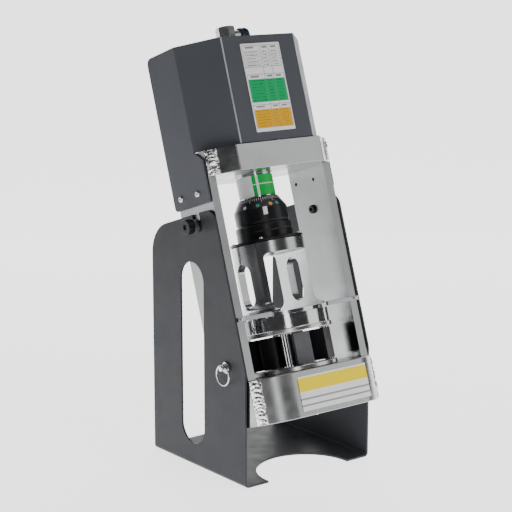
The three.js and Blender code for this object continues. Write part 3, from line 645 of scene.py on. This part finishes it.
def top_path():
    """The upper block's front, seen from above, from left to right."""
    return [(-PLATE_OUT, -GAP), (-NOSE_TOP_HALF, -NOSE_TOP), (NOSE_TOP_HALF, -NOSE_TOP), (PLATE_OUT, -GAP)]


def low_path(steps=24):
    """The lower block's front: flat, with a round at each end that runs out at the plates."""
    end = math.acos(1 - (NOSE_LOW - GAP) / ROUND_LOW)
    centre = PLATE_OUT - ROUND_LOW * math.sin(end)
    half = [(-centre - ROUND_LOW * math.sin(end * k / steps),
             -NOSE_LOW + ROUND_LOW - ROUND_LOW * math.cos(end * k / steps))
            for k in range(steps, -1, -1)]
    return half + [(-x, y) for x, y in reversed(half)]


def block_outline(path):
    inner = PLATE_IN - GAP
    back = [(x, PLATE_D - y) for x, y in reversed(path)]
    return path + [(inner, -GAP), (inner, PLATE_D + GAP)] + back + [(-inner, PLATE_D + GAP), (-inner, -GAP)]


def make_blocks():
    top = prism(block_outline(top_path()), TOP_LOW, FRAME_HIGH)
    cut(top, rod(RAM_R + 1.8, TOP_LOW - 1, FRAME_HIGH + 1, steps=96))
    soften(top, 0.9, 3)
    keep(top, "upper_crosshead", "frame", BLOCK, "top_block", slot="frame_steel")
    low = prism(block_outline(low_path()), FRAME_LOW, LOW_HIGH)
    floor, cone = LOW_HIGH - 26, LOW_HIGH - 12.6
    cut(low, turned([(0, FRAME_LOW - 1), (HOSE_R, FRAME_LOW - 1), (HOSE_R, floor), (56, floor),
                     (BOWL_R, cone), (BOWL_R, LOW_HIGH + 1), (0, LOW_HIGH + 1)], steps=128))
    soften(low, 0.9, 3)
    keep(low, "lower_crosshead", "frame", BLOCK, "bottom_block", slot="frame_steel")


def along(path):
    """The length of path, and a function from distance along it to (point, outward normal)."""
    lengths = [0.0]
    for a, b in zip(path, path[1:]):
        lengths.append(lengths[-1] + math.dist(a, b))

    def at(s):
        i = 1
        while i < len(path) - 1 and lengths[i] < s:
            i += 1
        (x0, y0), (x1, y1) = path[i - 1], path[i]
        step = lengths[i] - lengths[i - 1]
        f = (s - lengths[i - 1]) / step
        return (x0 + f * (x1 - x0), y0 + f * (y1 - y0)), ((y1 - y0) / step, -(x1 - x0) / step)
    return lengths[-1], at


def weld_height(seed, pitch, t, x, y, z):
    """How far a bead stands out at t of its width: a hump with bowed ripples and lumps."""
    wave = 2.5 * noise.noise(Vector((seed, 3.0, z * 0.05)))
    ripple = abs(math.sin(math.pi * (z + 20.0 * (t - 0.5) ** 2) / pitch + wave))
    lump = noise.noise(Vector((x * 0.22 + seed, y * 0.22, z * 0.22)))
    return math.sin(math.pi * t) ** 0.55 * (1.2 + 1.3 * ripple ** 0.6 + 1.6 * lump)


def make_weld(name, path, low, high, sign, node, seed):
    """A weave bead up the corner between plate and block: overlapping ripples with a wandering edge."""
    width, pitch, across, up = 17.0, 5.2, 30, int((high - low) * 1.6)
    _, at = along(path)
    bm = bmesh.new()
    front, back = [], []
    for j in range(up + 1):
        z = low + (high - low) * j / up
        reach = width + 1.6 * noise.noise(Vector((seed, 0.0, z * 0.12)))
        fade = min(1.0, 3.0 * min(j, up - j) / up + 0.35)
        rows = [], []
        for i in range(across + 1):
            t = i / across
            (x, y), (nx, ny) = at(0.4 + reach * t)
            proud = 0.35 + fade * weld_height(seed, pitch, t, x, y, z)
            for row, h in zip(rows, (proud, GAP)):
                out = max(x + nx * h, -PLATE_OUT - 0.4)
                row.append(bm.verts.new((-sign * out, y + ny * h, z)))
        front.append(rows[0])
        back.append(rows[1])
    for j in range(up):
        for i in range(across):
            bm.faces.new((front[j][i], front[j][i + 1], front[j + 1][i + 1], front[j + 1][i]))
            bm.faces.new((back[j][i], back[j + 1][i], back[j + 1][i + 1], back[j][i + 1]))
        for i in (0, across):
            bm.faces.new((front[j][i], front[j + 1][i], back[j + 1][i], back[j][i]))
    for j in (0, up):
        for i in range(across):
            bm.faces.new((front[j][i], back[j][i], back[j][i + 1], front[j][i + 1]))
    made = new_object(name, bm)
    smooth(made)
    keep(made, name, "frame", WELD, node, slot="weld_metal")


def make_arm(sign, tag):
    x0, x1 = sorted((sign * ARM_IN, sign * PLATE_OUT))
    made = box(x0, x1, -5 - GAP, -GAP, ARM_LOW, ARM_LOW + 6)
    hole = (sign * (PLATE_OUT - 6), ARM_LOW + 3)
    cut(made, rod(1.8, -7, 1, hole, 24, "y"))
    soften(made, 0.5, 3)
    keep(made, "locating_bar_" + tag, "frame", STRIP, "locating_arm_" + tag, slot="zinc_strip")
    screw = turned([(0, -0.6), (1.5, -0.6), (1.5, -5.6), (2.9, -5.6), (2.9, -7.4), (2.4, -8.4), (1.3, -8.4),
                    (1.3, -6.9), (0, -6.9)], hole, 32, "y")
    soften(screw, 0)
    keep(screw, "bar_screw_" + tag, "frame", SMALL, "arm_screw_" + tag, slot="bright_hardware")


def make_pivot(sign, tag):
    w, centre = SIDE, (AXIS_Y, PIVOT_Z)
    stud = turned([(0, 88), (5.2, 88), (STUD_R, 88.8), (STUD_R, w + 9), (3.6, w + 9), (3.6, w + 13),
                   (0, w + 13)],
                  centre, 48, "x", sign)
    cut(stud, prism(hexagon(centre, 4.6), *sorted((sign * 86, sign * 91.5)), axis="x"))
    soften(stud, 0.3, 2)
    keep(stud, "pivot_shank_" + tag, "frame", KNOB, "pivot_stud_" + tag, slot="black_hardware")
    knob = turned([(0, w + 18.5), (4, w + 18.5), (4, w + 20.5), (8.8, w + 20.5), (9.7, w + 20.0),
                   (10.2, w + 19),
                   (10.2, w + 11.4), (9.6, w + 10.2), (8.4, w + 9.4), (4, w + 9.4), (4, w + 14), (0, w + 14)],
                  centre, 64, "x", sign)
    soften(knob, 0.25, 2)
    socket = turned([(0, w + 14.0), (4, w + 14.0), (4, w + 19.6), (0, w + 19.6)], centre, 32, "x", sign)
    cut(socket, prism(hexagon(centre, 6.2), *sorted((sign * (w + 16), sign * (w + 21))), axis="x"))
    soften(socket, 0.2, 2)
    keep(knob, "clamp_knob_" + tag, "knob_" + tag, KNOB, "pivot_knob_" + tag, slot="black_hardware")
    keep(socket, "knob_socket_" + tag, "knob_" + tag, DARK, slot="black_hardware")
    for name, r, low, high, bevel, material in (("washer", 9.2, w + 0.3, w + 2.1, 0.3, KNOB),
                                                ("spacer", 6.9, w + 2.3, w + 8.8, 0.2, ZINC)):
        made = turned([(6.15, low), (r, low), (r, high), (6.15, high), (6.15, low)], centre, 48, "x", sign)
        soften(made, bevel, 2)
        keep(made, "pivot_%s_%s" % (name, tag), "frame", material, slot="black_hardware")


# ---- cover ----
def cover_outline(inset):
    """The cover from above, drawn in by inset, as corners with radii."""
    slope = math.atan2(COVER_BEND - COVER_FRONT, COVER_OUT - COVER_HALF)
    x, bend = COVER_OUT - inset, COVER_BEND + inset * math.tan(slope / 2)
    half, front = COVER_HALF - inset * math.tan(math.pi / 4 - slope / 4), COVER_FRONT + inset
    return [(-x, COVER_BACK - inset, 0), (-x, bend, 3), (-half, front, 3.2), (half, front, 3.2), (x, bend, 3),
            (x, COVER_BACK - inset, 0)]


def make_cover():
    low, high = FRAME_HIGH + 0.8, COVER_TOP
    made = prism(outline(cover_outline(0), 6), low, high)
    hollow = [(x, y, max(0, r - 2.4)) for x, y, r in cover_outline(COVER_T)]
    cut(made, prism(outline(hollow, 6), low - 1, high - COVER_T),
        box(-93, 93, COVER_BACK - 9, COVER_BACK + 2, low - 1, high - 16))
    skirt = outline([(2, SKIRT_LOW, 3), (COVER_BACK, SKIRT_LOW, 6), (COVER_BACK, low + 2, 0),
                     (COVER_BEND, low + 2, 0), (COVER_BEND, low, 0), (2, low - 12, 0)], 8)
    for sign in (-1, 1):
        x0, x1 = sorted((sign * (COVER_OUT - COVER_T), sign * COVER_OUT))
        weld_on(made, prism(skirt, x0, x1, "x"))
        for y in COVER_SCREWS:
            cut(made, rod(2.6, COVER_OUT - 5, COVER_OUT + 1, (y, COVER_SCREW_Z), 32, "x", sign))
    corner_r = 9
    y, z = COVER_BACK - corner_r, COVER_TOP - corner_r
    corner = [(y + corner_r * math.cos(math.pi / 2 * k / 12), z + corner_r * math.sin(math.pi / 2 * k / 12))
              for k in range(13)]
    cut(made, prism(corner + [(y, z + 12), (y + 12, z + 12), (y + 12, z)], -COVER_OUT - 2, COVER_OUT + 2,
                    "x"),
        rod(17, high - 6, high + 2, steps=64))
    soften(made, 0.9, 3)
    keep(made, "cylinder_cover", "frame", COVER_POWDER, "cover", slot="powder_coat")


def make_cover_screws():
    out = COVER_OUT
    profile = [(0, 96), (2.1, 96), (2.1, out + 0.3), (4.4, out + 0.3), (4.4, out + 1.2), (3.9, out + 2.1),
               (2.9, out + 2.6), (1.5, out + 2.6), (1.5, out + 1.4), (0, out + 1.4)]
    places = [(sign, y) for sign in (-1, 1) for y in COVER_SCREWS]
    for n, (sign, y) in enumerate(places, 1):
        screw = turned(profile, (y, COVER_SCREW_Z), 40, "x", sign)
        soften(screw, 0)
        keep(screw, "button_screw_%d" % n, "frame", SMALL, "cover_screw_%d" % n, slot="bright_hardware")


def make_labels():
    half, low, high = 33, CHART_LOW, CHART_HIGH
    label = prism(outline([(-half, low, 1.5), (half, low, 1.5), (half, high, 1.5), (-half, high, 1.5)], 4),
                  COVER_FRONT - 0.9, COVER_FRONT - GAP, "y")
    soften(label, 0.12, 2)
    keep(label, "size_chart", "frame", chart(), "chart_plate", slot="label")
    total, at = along(low_path())
    long, steps = 119, 60
    outer, inner = [], []
    for k in range(steps + 1):
        (x, y), (nx, ny) = at(total / 2 - 50 + long * k / steps)
        outer.append((x + nx * 0.9, y + ny * 0.9))
        inner.append((x + nx * GAP, y + ny * GAP))
    film = prism(outer + inner[::-1], FRAME_LOW + 7, LOW_HIGH - 7.5)
    soften(film, 0.12, 2)
    keep(film, "front_plate_label", "frame", front_label(), "front_label", slot="label")


# ---- hydraulics ----
def make_cylinder():
    low, high, r = FRAME_HIGH + GAP, FRAME_HIGH + 124.5, CYLINDER_R
    profile = [(0, low), (r - 1, low), (r, low + 1)]
    for groove, depth in ((474, 4), (570, 3)):
        profile += [(r, groove), (r - 0.8, groove + 1), (r - 0.8, groove + depth), (r, groove + depth + 1)]
    profile += [(r, high - 5), (r - 1, high - 2.5), (r - 4, high), (18.6, high), (18, high + 0.6),
                (18, high + 3.4), (17.4, high + 4), (0, high + 4)]
    body = turned(profile, steps=96)
    soften(body, 0.3, 2)
    keep(body, "ram_cylinder", "frame", CYLINDER, "cylinder", slot="cylinder_paint")


def make_port():
    z = PORT_Z
    elbow = prism(hexagon((0, AXIS_Y), 23.4, 0.25), z - 13, z + 12)
    combine(elbow, turned([(0, z - 25), (20, z - 25), (20, z + 7), (12.2, z + 12), (0, z + 12)], steps=64),
            "INTERSECT")
    weld_on(elbow, turned([(0, z - 32.6), (9, z - 32.6), (9, z - 28), (8.4, z - 27.4), (9, z - 26.8),
                           (9, z - 12), (0, z - 12)], steps=48), rod(7.5, 7, 21, (AXIS_Y, z), 48, "x"))
    soften(elbow, 0.5, 3)
    keep(elbow, "port_elbow_body", "frame", ZINC, "port_elbow", slot="zinc_fitting")
    profile = [(0, 0), (8.4, 0), (9.6, 0.5), (10.4, 1.6), (10.4, 4)]
    for k in range(3):
        profile += [(9.4, 4.6 + 2 * k), (9.4, 5.2 + 2 * k), (10.4, 5.8 + 2 * k)]
    profile += [(10.4, 11.4), (9.6, 13.2), (8, 14), (3.4, 14), (3.4, 12.2), (0, 12.2)]
    coupler = turned([(r, d + 21.4) for r, d in profile], (AXIS_Y, z), 64, "x")
    soften(coupler, 0.2, 2)
    keep(coupler, "quick_coupler", "frame", BLUE, "coupler", slot="coupler_blue")


# ---- ram, adjusting ring and pusher ----
def make_ram():
    r, low, high = RAM_R, COLLAR_HIGH + GAP, FRAME_HIGH - 0.5
    body = turned([(0, low), (r - 0.6, low), (r, low + 0.6), (r, high - 0.6), (r - 0.6, high), (0, high)],
                  steps=128)
    soften(body, 0)
    keep(body, "ram_rod", "ram", CHROME, "ram", slot="hard_chrome")
    inner, outer, low, high = RAM_R + GAP, RAM_R + 1.3, BAND_LOW, BAND_HIGH
    band = turned([(inner, low), (outer - 0.1, low), (outer, low + 0.2), (outer, high - 0.2),
                   (outer - 0.1, high), (inner, high), (inner, low)], steps=128)
    soften(band, 0)
    keep(band, "setting_sleeve", "ram", sleeve(), "scale_band", slot="scale_sleeve")


def point(distance, angle):
    """The place at that distance from the ram axis, at an angle turned from the front to the left."""
    return -distance * math.sin(angle), AXIS_Y - distance * math.cos(angle)


def make_collar():
    r, low, high = COLLAR_R, FLANGE_HIGH + GAP, COLLAR_HIGH
    lower = turned([(0, low), (r - 0.7, low), (r, low + 0.7), (r, low + 9.7), (r - 0.5, low + 10.2),
                    (r - 0.5, low + 10.8), (r, low + 11.3), (r, high - 1.2), (r - 1, high), (0, high)],
                    steps=128)
    soften(lower, 0.25, 2)
    keep(lower, "lock_collar", "ram", BLACK, "ring_collar", slot="black_oxide")


def make_ring():
    r, bore, low, high = RING_R, RAM_R + 0.4, COLLAR_HIGH + GAP, RING_HIGH
    ring = turned([(bore, low), (r - 1, low), (r - 1, low + 2.3), (r, low + 3.3), (r, high - 16.3),
                   (r - 0.6, high - 15.1), (27.4, high - 0.6), (26.8, high), (bore, high), (bore, low)],
                   steps=128)
    soften(ring, 0.4, 3)
    keep(ring, "setting_ring", "adjusting_ring", BLACK, "adjusting_ring", slot="black_oxide")


def cone_radius(z):
    """The adjusting ring's radius on its cone."""
    return 27.0 + (RING_HIGH - 0.3 - z) * math.tan(CONE_SLOPE)


def make_graduations():
    """Sixty lines cut across the cone, every fifth one longer."""
    half = 0.28
    bm = bmesh.new()
    for k in range(60):
        a = 2 * math.pi * k / 60
        rows = []
        for z in (RING_HIGH - (5.1 if k % 5 else 7.9), RING_HIGH - 1.5):
            x, y = point(cone_radius(z) + 0.12, a)
            rows.append([bm.verts.new((x + s * math.cos(a), y - s * math.sin(a), z + 0.08))
                         for s in (-half, half)])
        bm.faces.new((rows[0][0], rows[0][1], rows[1][1], rows[1][0]))
    marks = new_object("marks", bm)
    m = marks.modifiers.new("thick", "SOLIDIFY")
    m.thickness = 0.12
    m.offset = 0
    bake(marks)
    keep(marks, "ring_graduations", "adjusting_ring", WHITE_MARK, slot="label")


def make_dots():
    z = RING_HIGH - 12.3
    places = ((73, WHITE_MARK), (41, GREEN_MARK), (11, AMBER_MARK), (-7, GREEN_MARK))
    for n, (angle, material) in enumerate(places, 1):
        a = math.radians(angle)
        dot = turned([(0, 0), (2.5, 0), (2.7, 0.25), (2.3, 0.55), (0, 0.6)], (0, 0), 32)
        out = Vector((-math.sin(a), -math.cos(a), math.tan(CONE_SLOPE))).normalized()
        x, y = point(cone_radius(z) - 0.1, a)
        dot.data.transform(Matrix.Translation((x, y, z)) @ out.to_track_quat("Z", "Y").to_matrix().to_4x4())
        soften(dot, 0)
        keep(dot, "ring_dot_%d" % n, "adjusting_ring", material, slot="label")


def make_tab():
    tab = box(-3, 3, -RING_R - 1, -RING_R - 0.2, COLLAR_HIGH + 11.3, COLLAR_HIGH + 21.9)
    tab.data.transform(Matrix.Translation((0, AXIS_Y, 0)) @ Matrix.Rotation(-math.radians(27), 4, "Z"))
    soften(tab, 0.15, 2)
    keep(tab, "ring_index_tab", "adjusting_ring", WHITE_MARK, "index_tab", slot="label")


def make_flange():
    r, low, high = FLANGE_R, HUB_HIGH + GAP, FLANGE_HIGH
    flange = turned([(0, low), (r - 0.4, low), (r, low + 0.4), (r, high - 0.4), (r - 0.4, high), (0, high)],
                    steps=128)
    soften(flange, 0)
    keep(flange, "flange_disc", "ram", BLACK, "pusher_flange", slot="black_oxide")
    seat = FLANGE_HIGH + GAP
    profile = [(0, seat), (2.6, seat), (2.6, seat + 1.2), (2.2, seat + 2), (1.5, seat + 2.4),
               (1.2, seat + 2.4), (1.2, seat + 1.5), (0, seat + 1.5)]
    circle = 45.6
    for k in range(4):
        t = math.pi / 4 + math.pi / 2 * k
        screw = turned(profile, (circle * math.cos(t), AXIS_Y + circle * math.sin(t)), 32)
        soften(screw, 0)
        keep(screw, "flange_bolt_%d" % (k + 1), "ram", SMALL, "flange_screw_%d" % (k + 1),
             slot="bright_hardware")


def make_pusher():
    low, high, base, r = PUSHER_LOW, HUB_HIGH, PUSHER_BASE_R, PUSHER_R
    profile = [(0, low), (base - 0.8, low), (base, low + 0.8), (base, low + 3.4)]
    for k in range(1, 13):
        t = math.pi / 2 * k / 12
        profile.append((base - 12 * math.sin(t), low + 4 + 12 * (1 - math.cos(t))))
    profile += [(r, HUB_LOW + 3), (r, high - 1.5), (r - 1.5, high), (0, high)]
    made = turned(profile, steps=128)
    window = outline([(-LEG_IN, low - 2, 0), (LEG_IN, low - 2, 0), (LEG_IN, HUB_LOW, 6),
                      (-LEG_IN, HUB_LOW, 6)], 8)
    cut(made, prism(window, -45, 125, "y"), prism(obround(AXIS_Y, low + 10.5, low + 71.5, 14), -80, 80, "x"))
    soften(made, 0.7, 3)
    keep(made, "slotted_pusher", "ram", TURNED, "pusher", slot="machined_steel")


def make_pressure_ring():
    low, high, r = CAGE_HIGH + GAP, PUSHER_LOW - GAP, PRESSURE_R
    ring = turned([(LEG_IN, low), (r, low), (r, high - 5.2), (r - 6, high - 4.3), (r - 6, high),
                   (LEG_IN, high), (LEG_IN, low)], steps=160)
    cut(ring, rod(7.2, low - 1.2, high + 1.3, point(*LATCH), 48))
    soften(ring, 0.4, 3)
    keep(ring, "polished_pressure_ring", "ram", CHROME, "pressure_ring", slot="machined_steel")


# ---- die cage ----
def make_cage_plates():
    low, high, r = CAGE_LOW, CAGE_LOW + CAGE_PLATE_H, CAGE_LOW_R
    lower = turned([(28, low - 10), (54, low - 10), (60, low - 0.1), (r - 0.5, low - 0.1), (r, low + 0.4),
                    (r, high - 0.5), (r - 0.5, high), (28, high), (28, low - 10)], steps=128)
    soften(lower, 0.3, 2)
    keep(lower, "cage_base_ring", "die_cage", CAGE, "cage_bottom_plate", slot="cage_steel")
    low, high, r = CAGE_HIGH - CAGE_PLATE_H, CAGE_HIGH, CAGE_HIGH_R
    upper = turned([(30, low), (r - 0.5, low), (r, low + 0.5), (r, high - 0.5), (r - 0.5, high), (30, high),
                    (30, low)],
                   steps=128)
    soften(upper, 0.3, 2)
    keep(upper, "cage_cap_ring", "die_cage", CAGE, "cage_top_plate", slot="cage_steel")


def make_posts():
    r, low, high = POST_R, CAGE_LOW + CAGE_PLATE_H + GAP, CAGE_HIGH - CAGE_PLATE_H - GAP
    profile = [(0, low), (r - 0.6, low), (r, low + 0.6), (r, high - 0.6), (r - 0.6, high), (0, high)]
    for k in range(4):
        post = turned(profile, point(POST_PCR, DIE_TURN + math.pi / 8 + math.pi / 2 * k), 64)
        soften(post, 0)
        keep(post, "guide_post_%d" % (k + 1), "die_cage", CHROME, "cage_post_%d" % (k + 1),
             slot="hard_chrome")


def make_latch():
    low = CAGE_HIGH + GAP
    latch = turned([(0, low), (4.2, low), (4.6, low + 0.4), (4.6, low + 3), (4.2, low + 3.4),
                    (2.4, low + 4.2),
                    (2.4, low + 6), (3.6, low + 7.2), (3.6, low + 9.2), (3, low + 9.7), (0, low + 9.7)],
                   point(*LATCH), 40)
    soften(latch, 0)
    keep(latch, "cage_lift_knob", "die_cage", SMALL, "cage_latch", slot="cage_steel")


def make_dies():
    """Eight equal blocks: flat outside, a taper inward from the shoulder, and a shallow crimping face."""
    low, high = CAGE_LOW + 7.6, CAGE_HIGH - 8.2
    count, half, outside, inside = 8, 11.5, 62, 20
    spread = math.tan(math.pi / count)
    shoulder = (half + 0.4) / spread + 5
    tip = (inside - 5) * spread - 0.4
    plan = [(-half, outside), (-half, shoulder), (-tip, inside), (0, inside + 0.9), (tip, inside),
            (half, shoulder), (half, outside)]
    for k in range(count):
        angle = DIE_TURN + 2 * math.pi * k / count
        points = []
        for across, out in plan:
            x, y = point(out, angle)
            points.append((x + across * math.cos(angle), y - across * math.sin(angle)))
        die = prism(points, low, high)
        soften(die, 0.6, 3)
        node = "die_%d" % (k + 1)
        # the first die takes the lighter copy of the finish: painted sheen on the face turned to the light
        keep(die, "crimp_" + node, node, DIE if k else DIE_PAINTED_SHEEN, node, slot="black_oxide")


make_stand()
for sign, tag in ((-1, "left"), (1, "right")):
    make_detent(sign, tag)
    make_side_plate(sign, tag)
    make_arm(sign, tag)
    make_pivot(sign, tag)
    make_weld("weld_bead_top_" + tag, top_path(), TOP_LOW + 0.5, FRAME_HIGH - 0.5, sign, "weld_top_" + tag,
              1.0 + sign)
    make_weld("weld_bead_bottom_" + tag, low_path(), FRAME_LOW + 0.5, LOW_HIGH - 0.5, sign,
              "weld_bottom_" + tag, 7.0 + sign)
make_blocks()
make_cover()
make_cover_screws()
make_labels()
make_cylinder()
make_port()
make_ram()
make_collar()
make_ring()
make_graduations()
make_dots()
make_tab()
make_flange()
make_pusher()
make_pressure_ring()
make_cage_plates()
make_posts()
make_latch()
make_dies()


# ---- stage, light and camera, in metres ----
def make_stage():
    """A white floor that sweeps up into a wall behind the press."""
    width, front, back, tall, r = 2.2, -1.1, 1.4, 3.0, 1.0
    turns = [math.pi / 2 * k / 24 for k in range(25)]
    line = [(front, 0.0)] + [(back + r * math.sin(t), r - r * math.cos(t)) for t in turns]
    line.append((back + r, tall))
    bm = bmesh.new()
    rows = [[bm.verts.new((x, y, z)) for x in (-width, width)] for y, z in line]
    for a, b in zip(rows, rows[1:]):
        bm.faces.new((a[0], a[1], b[1], b[0]))
    sweep = new_object("floor_sweep", bm, Matrix.Rotation(math.radians(-38), 4, "Z"))
    smooth(sweep)
    m = bpy.data.materials.new("floor_white")
    m.use_nodes = True
    s = m.node_tree.nodes["Principled BSDF"]
    s.inputs["Base Color"].default_value = (0.7, 0.7, 0.7, 1)
    s.inputs["Roughness"].default_value = 0.7
    s.inputs["Emission Color"].default_value = (1, 1, 1, 1)
    s.inputs["Emission Strength"].default_value = 2.1
    sweep.data.materials.append(m)


def area_light(name, where, target, size, power, tall=None):
    data = bpy.data.lights.new(name, "AREA")
    data.energy = power
    data.size = size
    if tall:
        data.shape = "RECTANGLE"
        data.size_y = tall
    obj = bpy.data.objects.new(name, data)
    bpy.context.scene.collection.objects.link(obj)
    obj.location = where
    obj.rotation_euler = (Vector(target) - Vector(where)).to_track_quat("-Z", "Y").to_euler()


def from_camera(degrees, distance, height):
    """A place at that angle to the right of the camera's side of the press."""
    t = math.radians(-128 + degrees)
    return distance * math.cos(t), distance * math.sin(t), height


def make_lights():
    """Cards either side and a strip at the front left, for the bright metal, and one light from above."""
    area_light("card_right", from_camera(84, 2.2, 0.9), (0, 0, 0.35), 1.3, 9, 1.8)
    area_light("card_left", from_camera(-100, 2.0, 0.9), (0, 0, 0.3), 1.2, 3, 1.6)
    area_light("strip_left", from_camera(-46, 2.2, 0.9), (0, 0, 0.3), 0.16, 5, 1.7)
    area_light("card_front", from_camera(13, 2.2, 0.95), (0, 0, 0.32), 0.45, 5.5, 1.5)
    area_light("top", (0.35, -1.3, 2.3), (0, 0, 0.35), 1.0, 13)
    world = bpy.data.worlds.new("studio")
    world.use_nodes = True
    world.node_tree.nodes["Background"].inputs["Color"].default_value = (0.95, 0.97, 1.0, 1)
    world.node_tree.nodes["Background"].inputs["Strength"].default_value = 0.05
    bpy.context.scene.world = world


def make_camera():
    data = bpy.data.cameras.new("camera")
    data.lens = 112.5
    data.sensor_width = 36
    data.shift_x = -0.01451
    data.shift_y = -0.06398
    data.clip_end = 100
    data.dof.use_dof = False
    camera = bpy.data.objects.new("camera", data)
    bpy.context.scene.collection.objects.link(camera)
    camera.location = (-1.3255, -1.6011 - SHIFT / 1000, 0.7409)
    aim = Vector((0, 0.1 - SHIFT / 1000, 0.33))
    camera.rotation_euler = (aim - camera.location).to_track_quat("-Z", "Y").to_euler()
    bpy.context.scene.camera = camera


make_stage()
make_lights()
make_camera()
